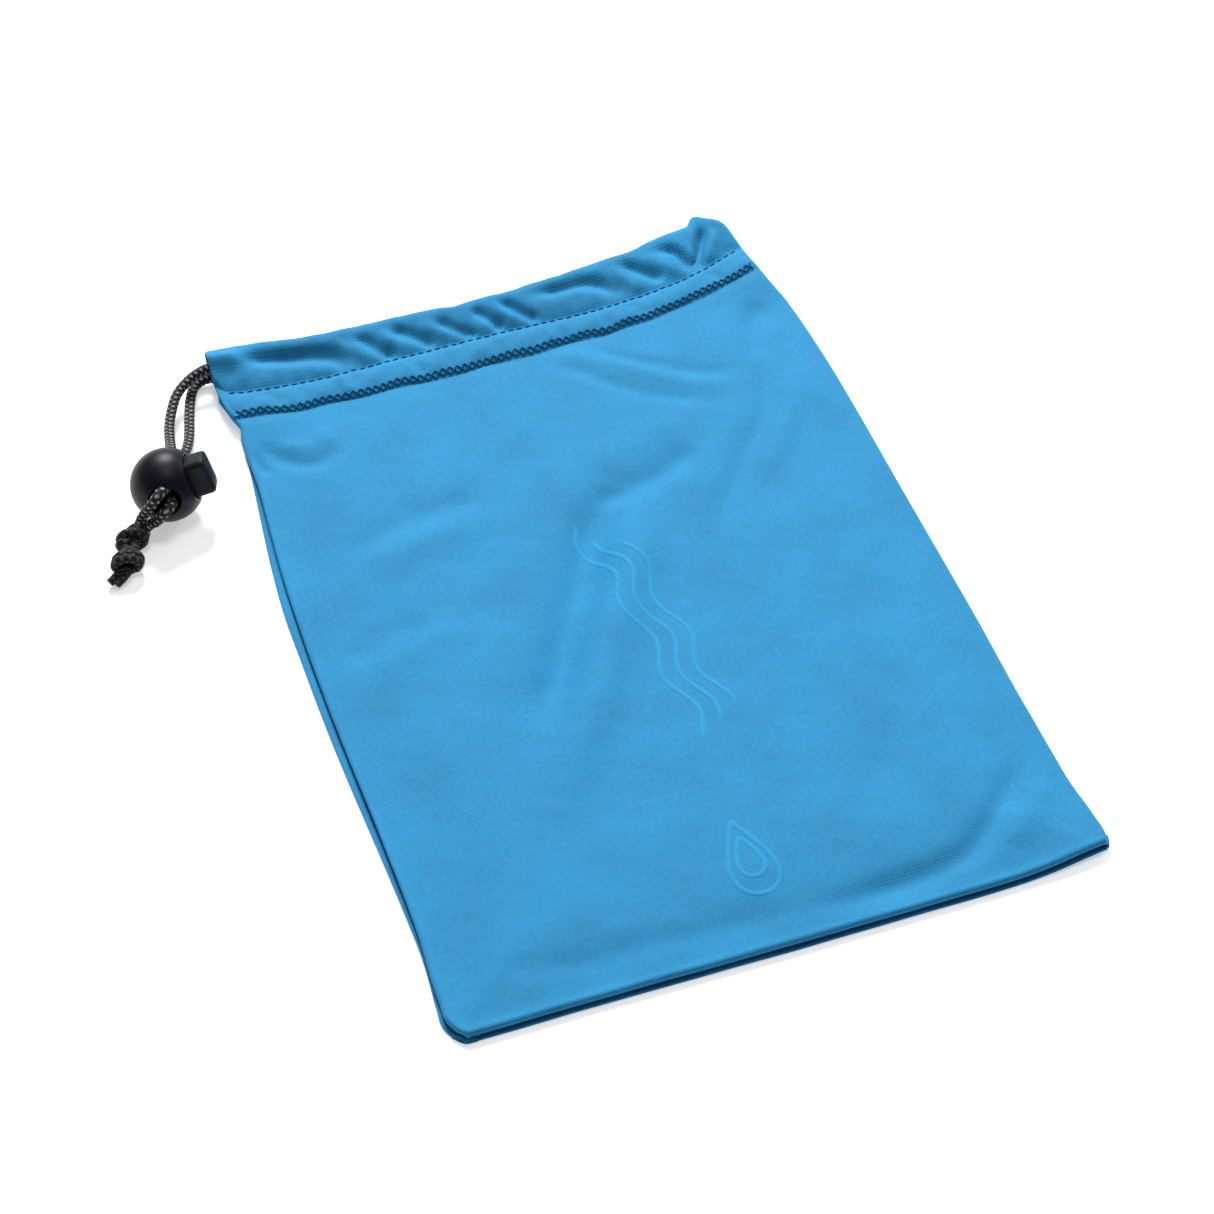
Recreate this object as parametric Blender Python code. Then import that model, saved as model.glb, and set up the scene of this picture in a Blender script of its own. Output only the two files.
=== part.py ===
"""Flat drawstring pouch of thin knitted cloth, with a cord and a round spring cord lock.

The pouch lies on its back layer. X is its width, Y its length with the mouth at +Y, and Z is up.
The origin is under the middle of the pouch, on the surface it lies on. Units are metres.
"""

import math

import bmesh
import bpy
from mathutils import Matrix, Vector

MM = 0.001

# Driving dimensions of the pouch
LENGTH = 220 * MM
WIDTH = 150 * MM
CLOTH = 0.6 * MM
GAP = 0.3 * MM
HALF = WIDTH / 2
BOTTOM = -LENGTH / 2
TOP = LENGTH / 2
LOFT = 3.75 * MM
MOUTH_LOFT = 2.0 * MM
CORNER_CUT = 6 * MM

# Hem round the mouth
HEM_LEFT = -67 * MM
HEM_RIGHT = 63 * MM
HEM_EDGE = 86 * MM
STITCH_Y = 97 * MM
HEM_CLOTH = 0.5 * MM
MOUTH_DIP = 6 * MM
BACK_CHANNEL_Z = 2.05 * MM
FRONT_CHANNEL_Z = 6.45 * MM
CHANNEL_Y = 104.2 * MM

# Sewing thread
THREAD = 0.35 * MM
SEAM_INSET = 3.5 * MM

# Drawcord
CORD = 2.5 * MM
CORD_SIDES = 2
STRAND_POINTS = 20

# Cord lock: local X is the button's axis, local -Y is where the strands leave, local Z is up
BALL = Vector((-89.5, 64.6, 8.8)) * MM
BALL_RADIUS = 8.8 * MM
BALL_FLAT = 6.2 * MM
BORE_RADIUS = 3.5 * MM
LOCK_TURN = math.radians(-18)
LOCK_TILT = math.radians(-15)
LOCK_ROLL = math.radians(-19)
BUTTON_OUT = 11.2 * MM
BUTTON_IN = -2.2 * MM
BUTTON_HOLE = 2.4 * MM
BUTTON_SIZE = (6.8 * MM, 9.2 * MM)
BUTTON_CORNER = 1.5 * MM
POCKET_END = -5.6 * MM
SPRING_END = -7.4 * MM
SPRING_RADIUS = 2.0 * MM
SPRING_WIRE = 0.4 * MM
SPRING_TURNS = 3.5
STRAND_IN_BORE = Vector((1.2, 0, 1.45)) * MM
BORE_ENTRY = (9.0 * MM, 5.0 * MM, GAP / 2)
BORE_EXIT = (-GAP / 2, -4.0 * MM, -7.5 * MM)

# Routes of the free strands, in millimetres: from the hem to the lock, and from the lock to the knot
FRONT_STRAND = [
    (-67.3, 103.2, 6.4), (-70.5, 103.0, 6.2), (-74.5, 101.6, 5.4), (-78.3, 98.6, 4.5),
    (-80.9, 94.2, 3.8), (-83.0, 88.7, 3.8), (-84.4, 82.4, 5.0), (-85.2, 77.6, 6.7),
]
BACK_STRAND = [
    (-67.3, 103.9, 2.1), (-70.3, 104.2, 1.9), (-73.2, 102.6, 1.6), (-75.4, 98.2, 1.5),
    (-77.4, 91.5, 1.6), (-79.2, 85.0, 2.4), (-81.6, 79.0, 3.8),
]
FRONT_END = [(-94.6, 56.8, 13.6), (-97.0, 57.4, 10.7), (-98.5, 58.3, 8.1), (-99.3, 58.0, 6.25)]
BACK_END = [(-92.6, 55.6, 11.3), (-94.8, 55.1, 9.4), (-95.9, 55.5, 7.7), (-96.7, 56.0, 5.9)]
KNOT_LOBES = [((-100.8, 55.0, 3.5), (3.9, 4.6, 3.4)), ((-104.2, 47.7, 3.2), (3.8, 4.6, 3.1))]
CUT_ENDS = {
    "cord_cut_end_front": [(-108.2, 45.9, 2.1), (-109.2, 45.2, 1.8), (-110.2, 44.5, 1.5)],
    "cord_cut_end_back": [(-106.0, 43.1, 1.9), (-106.8, 42.0, 1.6), (-107.6, 40.9, 1.4)],
}


def clear_scene():
    for obj in list(bpy.data.objects):
        bpy.data.objects.remove(obj, do_unlink=True)


def material(name, colour, roughness, metallic=0.0):
    mat = bpy.data.materials.new(name)
    mat.use_nodes = True
    shader = mat.node_tree.nodes["Principled BSDF"]
    shader.inputs["Base Color"].default_value = (*colour, 1.0)
    shader.inputs["Roughness"].default_value = roughness
    shader.inputs["Metallic"].default_value = metallic
    return mat


def mesh_object(name, bm, mat, smooth_angle=None):
    """Turns a bmesh into a linked object with outward faces."""
    bmesh.ops.recalc_face_normals(bm, faces=bm.faces)
    mesh = bpy.data.meshes.new(name)
    bm.to_mesh(mesh)
    bm.free()
    mesh.materials.append(mat)
    if smooth_angle is not None:
        mesh.shade_smooth()
        mesh.set_sharp_from_angle(angle=smooth_angle)
    obj = bpy.data.objects.new(name, mesh)
    bpy.context.collection.objects.link(obj)
    return obj


def smoothstep(value):
    value = min(1.0, max(0.0, value))
    return value * value * (3 - 2 * value)


def spread(low, high, count):
    """count values from low to high, both included."""
    return [low + (high - low) * i / (count - 1) for i in range(count)]


# Outline of the pouch


def left_edge(y):
    """The gathered mouth pulls the left edge in."""
    return -HALF + 10 * MM * smoothstep((y - 5 * MM) / (86 * MM))


def right_edge(y):
    return HALF - 6 * MM * smoothstep((y - 62 * MM) / (34 * MM))


def outline():
    """Corners of a cloth layer seen from above, counter-clockwise from the bottom left."""
    last = HEM_EDGE - GAP
    right = [(right_edge(y), y) for y in spread(60 * MM, last, 5)]
    left = [(left_edge(y), y) for y in spread(last, 5 * MM, 7)]
    corner = [(-HALF, BOTTOM + CORNER_CUT), (-HALF + CORNER_CUT, BOTTOM)]
    return [corner[1], (HALF, BOTTOM)] + right + left + [corner[0]]


# Cloth pieces


def slab(name, corners, low, high, mat):
    """A flat sheet with the given outline."""
    bm = bmesh.new()
    face = bm.faces.new([bm.verts.new((x, y, low)) for x, y in corners])
    grown = bmesh.ops.extrude_face_region(bm, geom=[face])
    top = [v for v in grown["geom"] if isinstance(v, bmesh.types.BMVert)]
    bmesh.ops.translate(bm, verts=top, vec=(0, 0, high - low))
    return mesh_object(name, bm, mat)


def front_height(u, y):
    """Underside of the front layer: flat along the seams, raised in the middle and at the hem."""
    seam = 2 * CLOTH + GAP + THREAD - 0.2 * MM
    across = smoothstep((1 - abs(u)) / 0.34)
    along = smoothstep((y - BOTTOM - SEAM_INSET) / (24 * MM))
    to_hem = smoothstep((y - 62 * MM) / (HEM_EDGE - 62 * MM))
    hem_rise = 1.35 * MM + MOUTH_LOFT * math.cos(u * math.pi / 2)
    return seam + across * along * LOFT * (1 - to_hem) + hem_rise * to_hem


def front_panel(mat):
    """The front layer as a grid that follows the outline, closed by its own thickness."""
    rows = spread(BOTTOM, -84 * MM, 5) + spread(-60 * MM, 60 * MM, 6) + spread(66 * MM, HEM_EDGE - GAP, 5)
    columns = [-1, -0.95, -0.86, -0.76, -0.6, -0.3, 0, 0.3, 0.6, 0.76, 0.86, 0.95, 1]
    bm = bmesh.new()
    layers = []
    for lift in (0.0, CLOTH):
        grid = []
        for y in rows:
            cut = max(0.0, CORNER_CUT - (y - BOTTOM))
            low, high = left_edge(y) + cut, right_edge(y)
            places = [((low + high) / 2 + u * (high - low) / 2, u) for u in columns]
            grid.append([bm.verts.new((x, y, front_height(u, y) + lift)) for x, u in places])
        layers.append(grid)
    under, over = layers
    for j in range(len(rows) - 1):
        for i in range(len(columns) - 1):
            bm.faces.new((under[j][i], under[j + 1][i], under[j + 1][i + 1], under[j][i + 1]))
            bm.faces.new((over[j][i], over[j][i + 1], over[j + 1][i + 1], over[j + 1][i]))
        for i in (0, -1):
            bm.faces.new((under[j][i], over[j][i], over[j + 1][i], under[j + 1][i]))
    for i in range(len(columns) - 1):
        for j in (0, -1):
            bm.faces.new((under[j][i], under[j][i + 1], over[j][i + 1], over[j][i]))
    return mesh_object("front_panel", bm, mat, math.radians(40))


def ribbon(centre, thickness):
    """Closed outline of a strip of the given thickness along a line of (y, z) points."""
    one, other = [], []
    for i, point in enumerate(centre):
        before = Vector(centre[max(i - 1, 0)])
        after = Vector(centre[min(i + 1, len(centre) - 1)])
        run = (after - before).normalized()
        normal = Vector((-run.y, run.x)) * thickness / 2
        one.append(Vector(point) + normal)
        other.append(Vector(point) - normal)
    return one + other[::-1]


def mouth_shift(x):
    """How far the hem dips in the middle of the mouth, from 0 at its ends."""
    middle = (HEM_LEFT + HEM_RIGHT) / 2
    reach = (HEM_RIGHT - HEM_LEFT) / 2
    return -MOUTH_DIP * (1 - ((x - middle) / reach) ** 2)


def front_lift(x):
    """How far the front hem stands off the back hem."""
    middle = (HEM_LEFT + HEM_RIGHT) / 2
    return MOUTH_LOFT * math.cos((x - middle) / (HEM_RIGHT - HEM_LEFT) * math.pi)


def swept_hem(name, centre, lifted, mat):
    """A turned-over hem: the strip's outline carried along the mouth."""
    section = ribbon(centre, HEM_CLOTH)
    bm = bmesh.new()
    rings = []
    for x in spread(HEM_LEFT, HEM_RIGHT, 12):
        lift = front_lift(x) if lifted else 0.0
        near_edge = section[0].x
        ring = []
        for point in section:
            share = smoothstep((point.x - near_edge) / (STITCH_Y - near_edge))
            ring.append(bm.verts.new((x, point.x + mouth_shift(x) * share, point.y + lift)))
        rings.append(ring)
    count = len(section)
    for first, second in zip(rings, rings[1:]):
        for i in range(count):
            j = (i + 1) % count
            bm.faces.new((first[i], first[j], second[j], second[i]))
    bm.faces.new(rings[0])
    bm.faces.new(rings[-1])
    return mesh_object(name, bm, mat, math.radians(50))


def back_hem(mat):
    centre = [
        (86, 1.05), (96, 1.05), (98, 0.9), (100, 0.35), (102, 0.25), (107.4, 0.25), (108.9, 0.75),
        (109.6, 2.05), (108.9, 3.35), (107.4, 3.85), (101.6, 3.85), (99.4, 3.0), (97.6, 2.05),
        (96, 1.95), (86, 1.95),
    ]
    return swept_hem("back_hem", [(y * MM, z * MM) for y, z in centre], False, mat)


def front_hem(mat):
    centre = [
        (86, 3.65), (96, 3.65), (97.6, 3.9), (99, 5.8), (100.4, 7.7), (102, 8.25), (107.4, 8.25),
        (108.9, 7.75), (109.6, 6.45), (108.9, 5.15), (107.4, 4.65), (101.8, 4.65), (100, 4.3),
        (98.6, 3.2), (97, 2.8), (86, 2.75),
    ]
    return swept_hem("front_hem", [(y * MM, z * MM) for y, z in centre], True, mat)


def mouth_fold(mat):
    """The cloth that turns round the right end of the mouth, over the cord's bend."""
    centre_x = HEM_RIGHT + GAP
    centre_z = (BACK_CHANNEL_Z + FRONT_CHANNEL_Z) / 2
    outer = 4.25 * MM
    inner = outer - HEM_CLOTH
    angles = spread(-math.pi / 2, math.pi / 2, 11)
    profile = [(outer * math.cos(a), outer * math.sin(a)) for a in angles]
    profile += [(inner * math.cos(a), inner * math.sin(a)) for a in reversed(angles)]
    bm = bmesh.new()
    ends = []
    for y in (HEM_EDGE + GAP, TOP):
        ends.append([bm.verts.new((centre_x + dx, y, centre_z + dz)) for dx, dz in profile])
    for i in range(len(profile)):
        j = (i + 1) % len(profile)
        bm.faces.new((ends[0][i], ends[0][j], ends[1][j], ends[1][i]))
    bm.faces.new(ends[0])
    bm.faces.new(ends[1])
    return mesh_object("mouth_fold", bm, mat, math.radians(50))


# Thread


def thread_row(name, points, mat):
    """A row of sewing: one thread along the points, square in section."""
    row = tube(name, points, THREAD, mat)
    row.data.bevel_resolution = 0


def swinging(place, low, high, pitch, reach):
    """Points along a row that swing by reach from side to side of it."""
    points = []
    for i, station in enumerate(spread(low, high, int((high - low) / pitch) + 1)):
        x, y, z = place(station)
        points.append(Vector((x, y + (reach if i % 2 else -reach), z)))
    return points


def hem_rows(mat):
    """Lockstitch under the cord channel and an overlock row at the hem's edge, on both layers."""
    row_y = STITCH_Y - 2.5 * MM
    edge_y = HEM_EDGE + 2.2 * MM
    levels = {"back": (0.32 * MM, 0.0), "front": (4.4 * MM, 1.0)}
    low, high = HEM_LEFT + 1.5 * MM, HEM_RIGHT - 1 * MM
    for layer, (level, lifted) in levels.items():

        def place(x, y):
            share = smoothstep((y - HEM_EDGE) / (STITCH_Y - HEM_EDGE))
            return (x, y + mouth_shift(x) * share, level + lifted * front_lift(x))

        row = swinging(lambda x: place(x, row_y), low, high, 4.0 * MM, 0.0)
        thread_row(layer + "_channel_stitch", row, mat)
        edge = swinging(lambda x: place(x, edge_y), low, high, 2.2 * MM, 0.9 * MM)
        thread_row(layer + "_hem_overlock", edge, mat)


def seam_rows(mat):
    """The seams that close the left side and the bottom, sewn between the two layers."""
    level = CLOTH + GAP + THREAD / 2
    side = [Vector((left_edge(y) + SEAM_INSET, y, level)) for y in spread(-101 * MM, 60 * MM, 24)]
    thread_row("side_seam_thread", side, mat)
    bottom = [Vector((x, BOTTOM + SEAM_INSET, level)) for x in spread(-66 * MM, 71 * MM, 20)]
    thread_row("bottom_seam_thread", bottom, mat)


# Cord


def between(a, b, c, d, t):
    """The point at share t of the way from b to c on a smooth curve through a, b, c and d."""
    bend = 2 * a - 5 * b + 4 * c - d
    twist = 3 * b - a - 3 * c + d
    return b + 0.5 * ((c - a) * t + bend * t**2 + twist * t**3)


def smooth_route(points, count):
    """count points, evenly spaced, on one smooth curve through the route's points."""
    padded = [points[0] * 2 - points[1]] + points + [points[-1] * 2 - points[-2]]
    fine = []
    for a, b, c, d in zip(padded, padded[1:], padded[2:], padded[3:]):
        fine += [between(a, b, c, d, step / 24) for step in range(24)]
    fine.append(points[-1])
    travelled = [0.0]
    for first, second in zip(fine, fine[1:]):
        travelled.append(travelled[-1] + (second - first).length)
    even = []
    place = 0
    for target in spread(0.0, travelled[-1], count):
        while place < len(fine) - 2 and travelled[place + 1] < target:
            place += 1
        share = (target - travelled[place]) / (travelled[place + 1] - travelled[place])
        even.append(fine[place].lerp(fine[place + 1], share))
    return even


def tube(name, points, diameter, mat):
    """A round cord or wire: a poly spline with a bevel and filled caps."""
    curve = bpy.data.curves.new(name, "CURVE")
    curve.dimensions = "3D"
    curve.bevel_depth = diameter / 2
    curve.bevel_resolution = CORD_SIDES
    curve.use_fill_caps = True
    spline = curve.splines.new("POLY")
    spline.points.add(len(points) - 1)
    for target, point in zip(spline.points, points):
        target.co = (*point, 1.0)
    curve.materials.append(mat)
    obj = bpy.data.objects.new(name, curve)
    bpy.context.collection.objects.link(obj)
    return obj


def in_millimetres(points):
    return [Vector(point) * MM for point in points]


def lock_matrix():
    turn = Matrix.Rotation(LOCK_TURN, 4, "Z")
    tilt = Matrix.Rotation(LOCK_TILT, 4, "X")
    roll = Matrix.Rotation(LOCK_ROLL, 4, "Y")
    return Matrix.Translation(BALL) @ turn @ tilt @ roll


def bore_points(side, stations):
    """Points of a strand on its straight way through the lock. side is 1 above and -1 below."""
    offset = Vector((STRAND_IN_BORE.x, 0, side * STRAND_IN_BORE.z))
    return [lock_matrix() @ (offset + Vector((0, y, 0))) for y in stations]


def held_cord(mat):
    """The cord inside the hem: along the back, round the right end, and along the front."""
    for name, height, lifted in (("back", BACK_CHANNEL_Z, 0), ("front", FRONT_CHANNEL_Z, 1)):
        stations = spread(HEM_LEFT, HEM_RIGHT, 24)
        run = [Vector((x, CHANNEL_Y + mouth_shift(x), height + lifted * front_lift(x))) for x in stations]
        tube("drawcord_in_" + name + "_hem", run, CORD, mat)
    bend_radius = (FRONT_CHANNEL_Z - BACK_CHANNEL_Z) / 2
    centre = Vector((HEM_RIGHT + GAP, CHANNEL_Y, BACK_CHANNEL_Z + bend_radius))
    bend = []
    for angle in spread(-math.pi / 2, math.pi / 2, 9):
        bend.append(centre + bend_radius * Vector((math.cos(angle), 0, math.sin(angle))))
    tube("drawcord_mouth_bend", bend, CORD, mat)


def free_strands(mat):
    """Both strands from the hem, through the lock, to the knot. Each is split inside the lock."""
    routes = (("front", 1, FRONT_STRAND, FRONT_END), ("back", -1, BACK_STRAND, BACK_END))
    for name, side, to_lock, to_knot in routes:
        before = in_millimetres(to_lock) + bore_points(side, BORE_ENTRY)
        tube("cord_strand_" + name, smooth_route(before, STRAND_POINTS), CORD, mat)
        after = bore_points(side, BORE_EXIT) + in_millimetres(to_knot)
        tube("cord_end_" + name, smooth_route(after, STRAND_POINTS // 2), CORD, mat)


def cord_knot(mat):
    """Two overhand knots, one after the other, as two joined lobes."""
    lobes = []
    for name, (centre, radii) in zip(("cord_knot", "second_lobe"), KNOT_LOBES):
        bm = bmesh.new()
        bmesh.ops.create_uvsphere(bm, u_segments=14, v_segments=8, radius=1.0)
        bmesh.ops.scale(bm, vec=Vector(radii) * MM, verts=bm.verts)
        bmesh.ops.translate(bm, vec=Vector(centre) * MM, verts=bm.verts)
        lobes.append(mesh_object(name, bm, mat, math.radians(60)))
    knot, second = lobes
    boolean(knot, second, "UNION")
    for name, points in CUT_ENDS.items():
        tube(name, in_millimetres(points), CORD * 0.9, mat)


# Cord lock


def boolean(obj, cutter, operation):
    cutter.hide_render = True
    cutter.display_type = "WIRE"
    modifier = obj.modifiers.new(operation.lower() + "_" + cutter.name, "BOOLEAN")
    modifier.operation = operation
    modifier.solver = "EXACT"
    modifier.object = cutter


def rounded_block(name, low, high, size, corner, mat):
    """A block along local X with rounded long edges. size is its extent in Y and in Z."""
    bm = bmesh.new()
    half_y, half_z = size[0] / 2 - corner, size[1] / 2 - corner
    profile = []
    for quarter, (sy, sz) in enumerate(((1, 1), (-1, 1), (-1, -1), (1, -1))):
        for step in range(4):
            angle = (quarter + step / 3) * math.pi / 2
            y = sy * half_y + corner * math.cos(angle)
            z = sz * half_z + corner * math.sin(angle)
            profile.append((y, z))
    face = bm.faces.new([bm.verts.new((low, y, z)) for y, z in profile])
    grown = bmesh.ops.extrude_face_region(bm, geom=[face])
    far = [v for v in grown["geom"] if isinstance(v, bmesh.types.BMVert)]
    bmesh.ops.translate(bm, verts=far, vec=(high - low, 0, 0))
    return mesh_object(name, bm, mat, math.radians(40))


def rod_along(name, axis, radius, low, high, offset, mat):
    """A cylinder along local X or Y, used to drill the lock's pieces."""
    bm = bmesh.new()
    middle = (low + high) / 2
    turn = Matrix.Rotation(math.pi / 2, 4, "Y" if axis == "X" else "X")
    place = Vector((middle, 0, 0)) if axis == "X" else Vector((offset, middle, 0))
    bmesh.ops.create_cone(
        bm, cap_ends=True, segments=24, radius1=radius, radius2=radius, depth=high - low,
        matrix=Matrix.Translation(place) @ turn,
    )
    return mesh_object(name, bm, mat, math.radians(40))


def lock_ball(parent, mat):
    """A ball with a flat, a cross bore for the two strands and a pocket for the button."""
    bm = bmesh.new()
    turn = Matrix.Rotation(math.pi / 2, 4, "Y")
    bmesh.ops.create_uvsphere(bm, u_segments=28, v_segments=18, radius=BALL_RADIUS, matrix=turn)
    geometry = bm.verts[:] + bm.edges[:] + bm.faces[:]
    cut = bmesh.ops.bisect_plane(
        bm, geom=geometry, plane_co=(BALL_FLAT, 0, 0), plane_no=(1, 0, 0), clear_outer=True
    )
    rim = [edge for edge in cut["geom_cut"] if isinstance(edge, bmesh.types.BMEdge)]
    bmesh.ops.holes_fill(bm, edges=rim)
    ball = mesh_object("lock_ball", bm, mat, math.radians(35))
    reach = 2 * BALL_RADIUS
    pocket_size = [side + 2 * GAP for side in BUTTON_SIZE]
    cutters = [
        rod_along("bore_cutter", "Y", BORE_RADIUS, -reach, reach, 0, mat),
        rounded_block("pocket_cutter", POCKET_END, reach, pocket_size, BUTTON_CORNER, mat),
        rod_along("spring_cutter", "X", SPRING_RADIUS + 0.6 * MM, SPRING_END, 0, 0, mat),
    ]
    ball.parent = parent
    for cutter in cutters:
        cutter.parent = parent
        boolean(ball, cutter, "DIFFERENCE")


def lock_button(parent, mat):
    """The sprung plunger. Its cross hole grips the strands until it is pressed."""
    button = rounded_block("lock_button", BUTTON_IN, BUTTON_OUT, BUTTON_SIZE, BUTTON_CORNER, mat)
    reach = 2 * BALL_RADIUS
    drill = rod_along("button_hole_cutter", "Y", BORE_RADIUS, -reach, reach, BUTTON_HOLE, mat)
    button.parent = parent
    drill.parent = parent
    boolean(button, drill, "DIFFERENCE")


def lock_spring(parent, mat):
    """The compression spring between the pocket's floor and the button."""
    low = SPRING_END + GAP + SPRING_WIRE / 2
    high = BUTTON_IN - GAP - SPRING_WIRE / 2
    coil_radius = SPRING_RADIUS - SPRING_WIRE / 2
    points = []
    for share in spread(0.0, 1.0, int(SPRING_TURNS * 12) + 1):
        angle = share * SPRING_TURNS * 2 * math.pi
        x = low + (high - low) * share
        points.append(Vector((x, coil_radius * math.cos(angle), coil_radius * math.sin(angle))))
    spring = tube("lock_spring", points, SPRING_WIRE, mat)
    spring.data.bevel_resolution = 1
    spring.parent = parent


def main():
    clear_scene()
    cloth = material("blue_knit", (0.05, 0.33, 0.62), 0.8)
    thread = material("teal_thread", (0.01, 0.1, 0.2), 0.7)
    braid = material("black_braid", (0.02, 0.02, 0.02), 0.7)
    shell = material("black_lock_shell", (0.03, 0.03, 0.035), 0.45)
    plunger = material("black_lock_button", (0.02, 0.02, 0.022), 0.5)
    steel = material("spring_steel", (0.6, 0.6, 0.6), 0.3, 1.0)

    slab("back_panel", outline(), 0.0, CLOTH, cloth)
    front_panel(cloth)
    back_hem(cloth)
    front_hem(cloth)
    mouth_fold(cloth)
    hem_rows(thread)
    seam_rows(thread)
    held_cord(braid)
    free_strands(braid)
    cord_knot(braid)

    lock = bpy.data.objects.new("lock_frame", None)
    bpy.context.collection.objects.link(lock)
    lock.matrix_world = lock_matrix()
    lock_ball(lock, shell)
    lock_button(lock, plunger)
    lock_spring(lock, steel)


main()
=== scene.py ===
"""Looks of the drawstring pouch: knitted cloth with its hem, sewing, braided cord and cord lock.

Lengths inside this script are in millimetres, in the frame's axes, and become metres where a
mesh is made. X runs across the pouch, Y along it with the mouth at +Y, and Z is up.
"""

import math

import bmesh
import bpy
import numpy as np
from mathutils import Matrix, Vector


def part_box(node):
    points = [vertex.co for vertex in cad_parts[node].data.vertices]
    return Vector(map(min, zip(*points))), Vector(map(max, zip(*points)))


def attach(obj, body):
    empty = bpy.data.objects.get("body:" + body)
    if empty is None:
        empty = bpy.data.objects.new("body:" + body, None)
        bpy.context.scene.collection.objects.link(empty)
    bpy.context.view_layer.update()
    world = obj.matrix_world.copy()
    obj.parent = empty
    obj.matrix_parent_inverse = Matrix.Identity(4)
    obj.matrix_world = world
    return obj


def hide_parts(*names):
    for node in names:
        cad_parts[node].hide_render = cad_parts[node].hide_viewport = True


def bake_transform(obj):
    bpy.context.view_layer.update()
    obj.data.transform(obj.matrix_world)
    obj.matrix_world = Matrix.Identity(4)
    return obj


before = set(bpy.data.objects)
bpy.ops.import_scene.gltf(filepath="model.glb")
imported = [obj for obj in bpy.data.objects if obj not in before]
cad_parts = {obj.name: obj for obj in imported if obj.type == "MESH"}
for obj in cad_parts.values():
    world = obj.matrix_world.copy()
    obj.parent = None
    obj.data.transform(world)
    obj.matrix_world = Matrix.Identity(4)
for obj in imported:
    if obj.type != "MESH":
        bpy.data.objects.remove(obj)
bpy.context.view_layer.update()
scene = bpy.context.scene

MM = 0.001
POUCH, FRONT, LOCK, BUTTON = "pouch", "front_layer", "cord_lock", "lock_plunger"

# Places taken from the frame
PANEL_LOW, PANEL_HIGH = [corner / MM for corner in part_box("back_panel")]
HEM_LOW, HEM_HIGH = [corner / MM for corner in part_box("front_hem")]
HALF_WIDTH = PANEL_HIGH.x
BOTTOM = PANEL_LOW.y

# Camera
VIEW_TURN = math.radians(-19.79)
VIEW_RISE = math.radians(46.08)
VIEW_REACH = 0.854
VIEW_TARGET = Vector((-0.0029, 0, 0))
VIEW_LENS = 109.66

# Studio: name, place, size and power of each area light, in metres and watts
LIGHTS = [
    ("back_softbox", (0.3, 1.8, 1.7), (0.8, 0.7), 104),
    ("top_softbox", (0.05, -0.1, 2.4), (0.7, 0.6), 14),
    ("side_softbox", (1.9, 0.75, 1.1), (0.9, 0.9), 15),
]
WORLD_STRENGTH = 0.15
FLOOR_REACH = 3.0
FLOOR_GREY, FLOOR_GLOW = 0.82, 0.45

# Cloth: its thickness
CLOTH = 0.45

# Cord: its width, the yarns of its braid and how high they stand, and the distance between rings
CORD = 2.5
BRAID_CARRIERS = 3
BRAID_PITCH = 1.5
BRAID_RELIEF, KNOT_RELIEF = 0.09, 0.1
STRAND_SIDES, KNOT_SIDES = 30, 24
CORD_STEP = 0.25

# Cord lock: local X is the button's axis, local -Y is where the strands leave, local Z is up
BALL = Vector((-89.5, 64.6, 8.8))
BALL_RADIUS = 8.8
BALL_FLAT = 6.2
BORE_RADIUS = 3.5
LOCK_TURN = math.radians(-18)
LOCK_TILT = math.radians(-15)
LOCK_ROLL = math.radians(-19)
STRAND_IN_BORE = Vector((0.9, 0, 1.45))

# Routes of the free strands
FRONT_STRAND = [
    (-67.3, 103.2, 6.4), (-70.5, 103.0, 6.2), (-74.5, 101.6, 5.4), (-78.3, 98.6, 4.5),
    (-80.9, 94.2, 3.8), (-83.0, 88.7, 3.8), (-84.4, 82.4, 5.0), (-85.2, 77.6, 6.7),
]
BACK_STRAND = [
    (-67.3, 103.9, 2.1), (-70.3, 104.2, 1.9), (-73.2, 102.6, 1.6), (-75.4, 98.2, 1.5),
    (-77.4, 91.5, 1.6), (-79.2, 85.0, 2.4), (-81.6, 79.0, 3.8),
]
# Over the ball's face in the lock's own axes, then down to the first knot in the frame's axes
FRONT_LEAVING = [
    (0.85, -5.6, 1.95), (0.5, -7.8, 2.7), (-0.4, -9.3, 2.6),
    (-1.75, -9.6, 1.75), (-3.3, -9.4, 0.6), (-5.1, -8.6, -0.8),
]
FRONT_END = [(-97.8, 57.7, 6.6), (-98.9, 56.9, 5.2)]
BACK_LEAVING = [
    (0.95, -5.8, -1.4), (1.0, -8.3, -1.3), (0.3, -9.8, -1.4),
    (-0.5, -9.9, -1.8), (-1.9, -9.6, -2.7), (-3.6, -8.8, -3.9),
]
BACK_END = [(-96.2, 56.5, 5.3), (-98.0, 55.7, 4.6)]
KNOTS = [(-100.9, 55.2, 3.6), (-103.9, 48.2, 3.4)]
CUT_ENDS = {
    "cord_cut_end_front": [(-105.0, 47.0, 2.9), (-107.2, 45.9, 2.2), (-109.2, 44.9, 1.5)],
    "cord_cut_end_back": [(-104.4, 46.0, 2.6), (-106.2, 44.8, 2.0), (-107.9, 43.9, 1.5)],
}


# Small helpers


def smoothstep(value):
    value = np.clip(value, 0, 1)
    return value * value * (3 - 2 * value)


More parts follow.
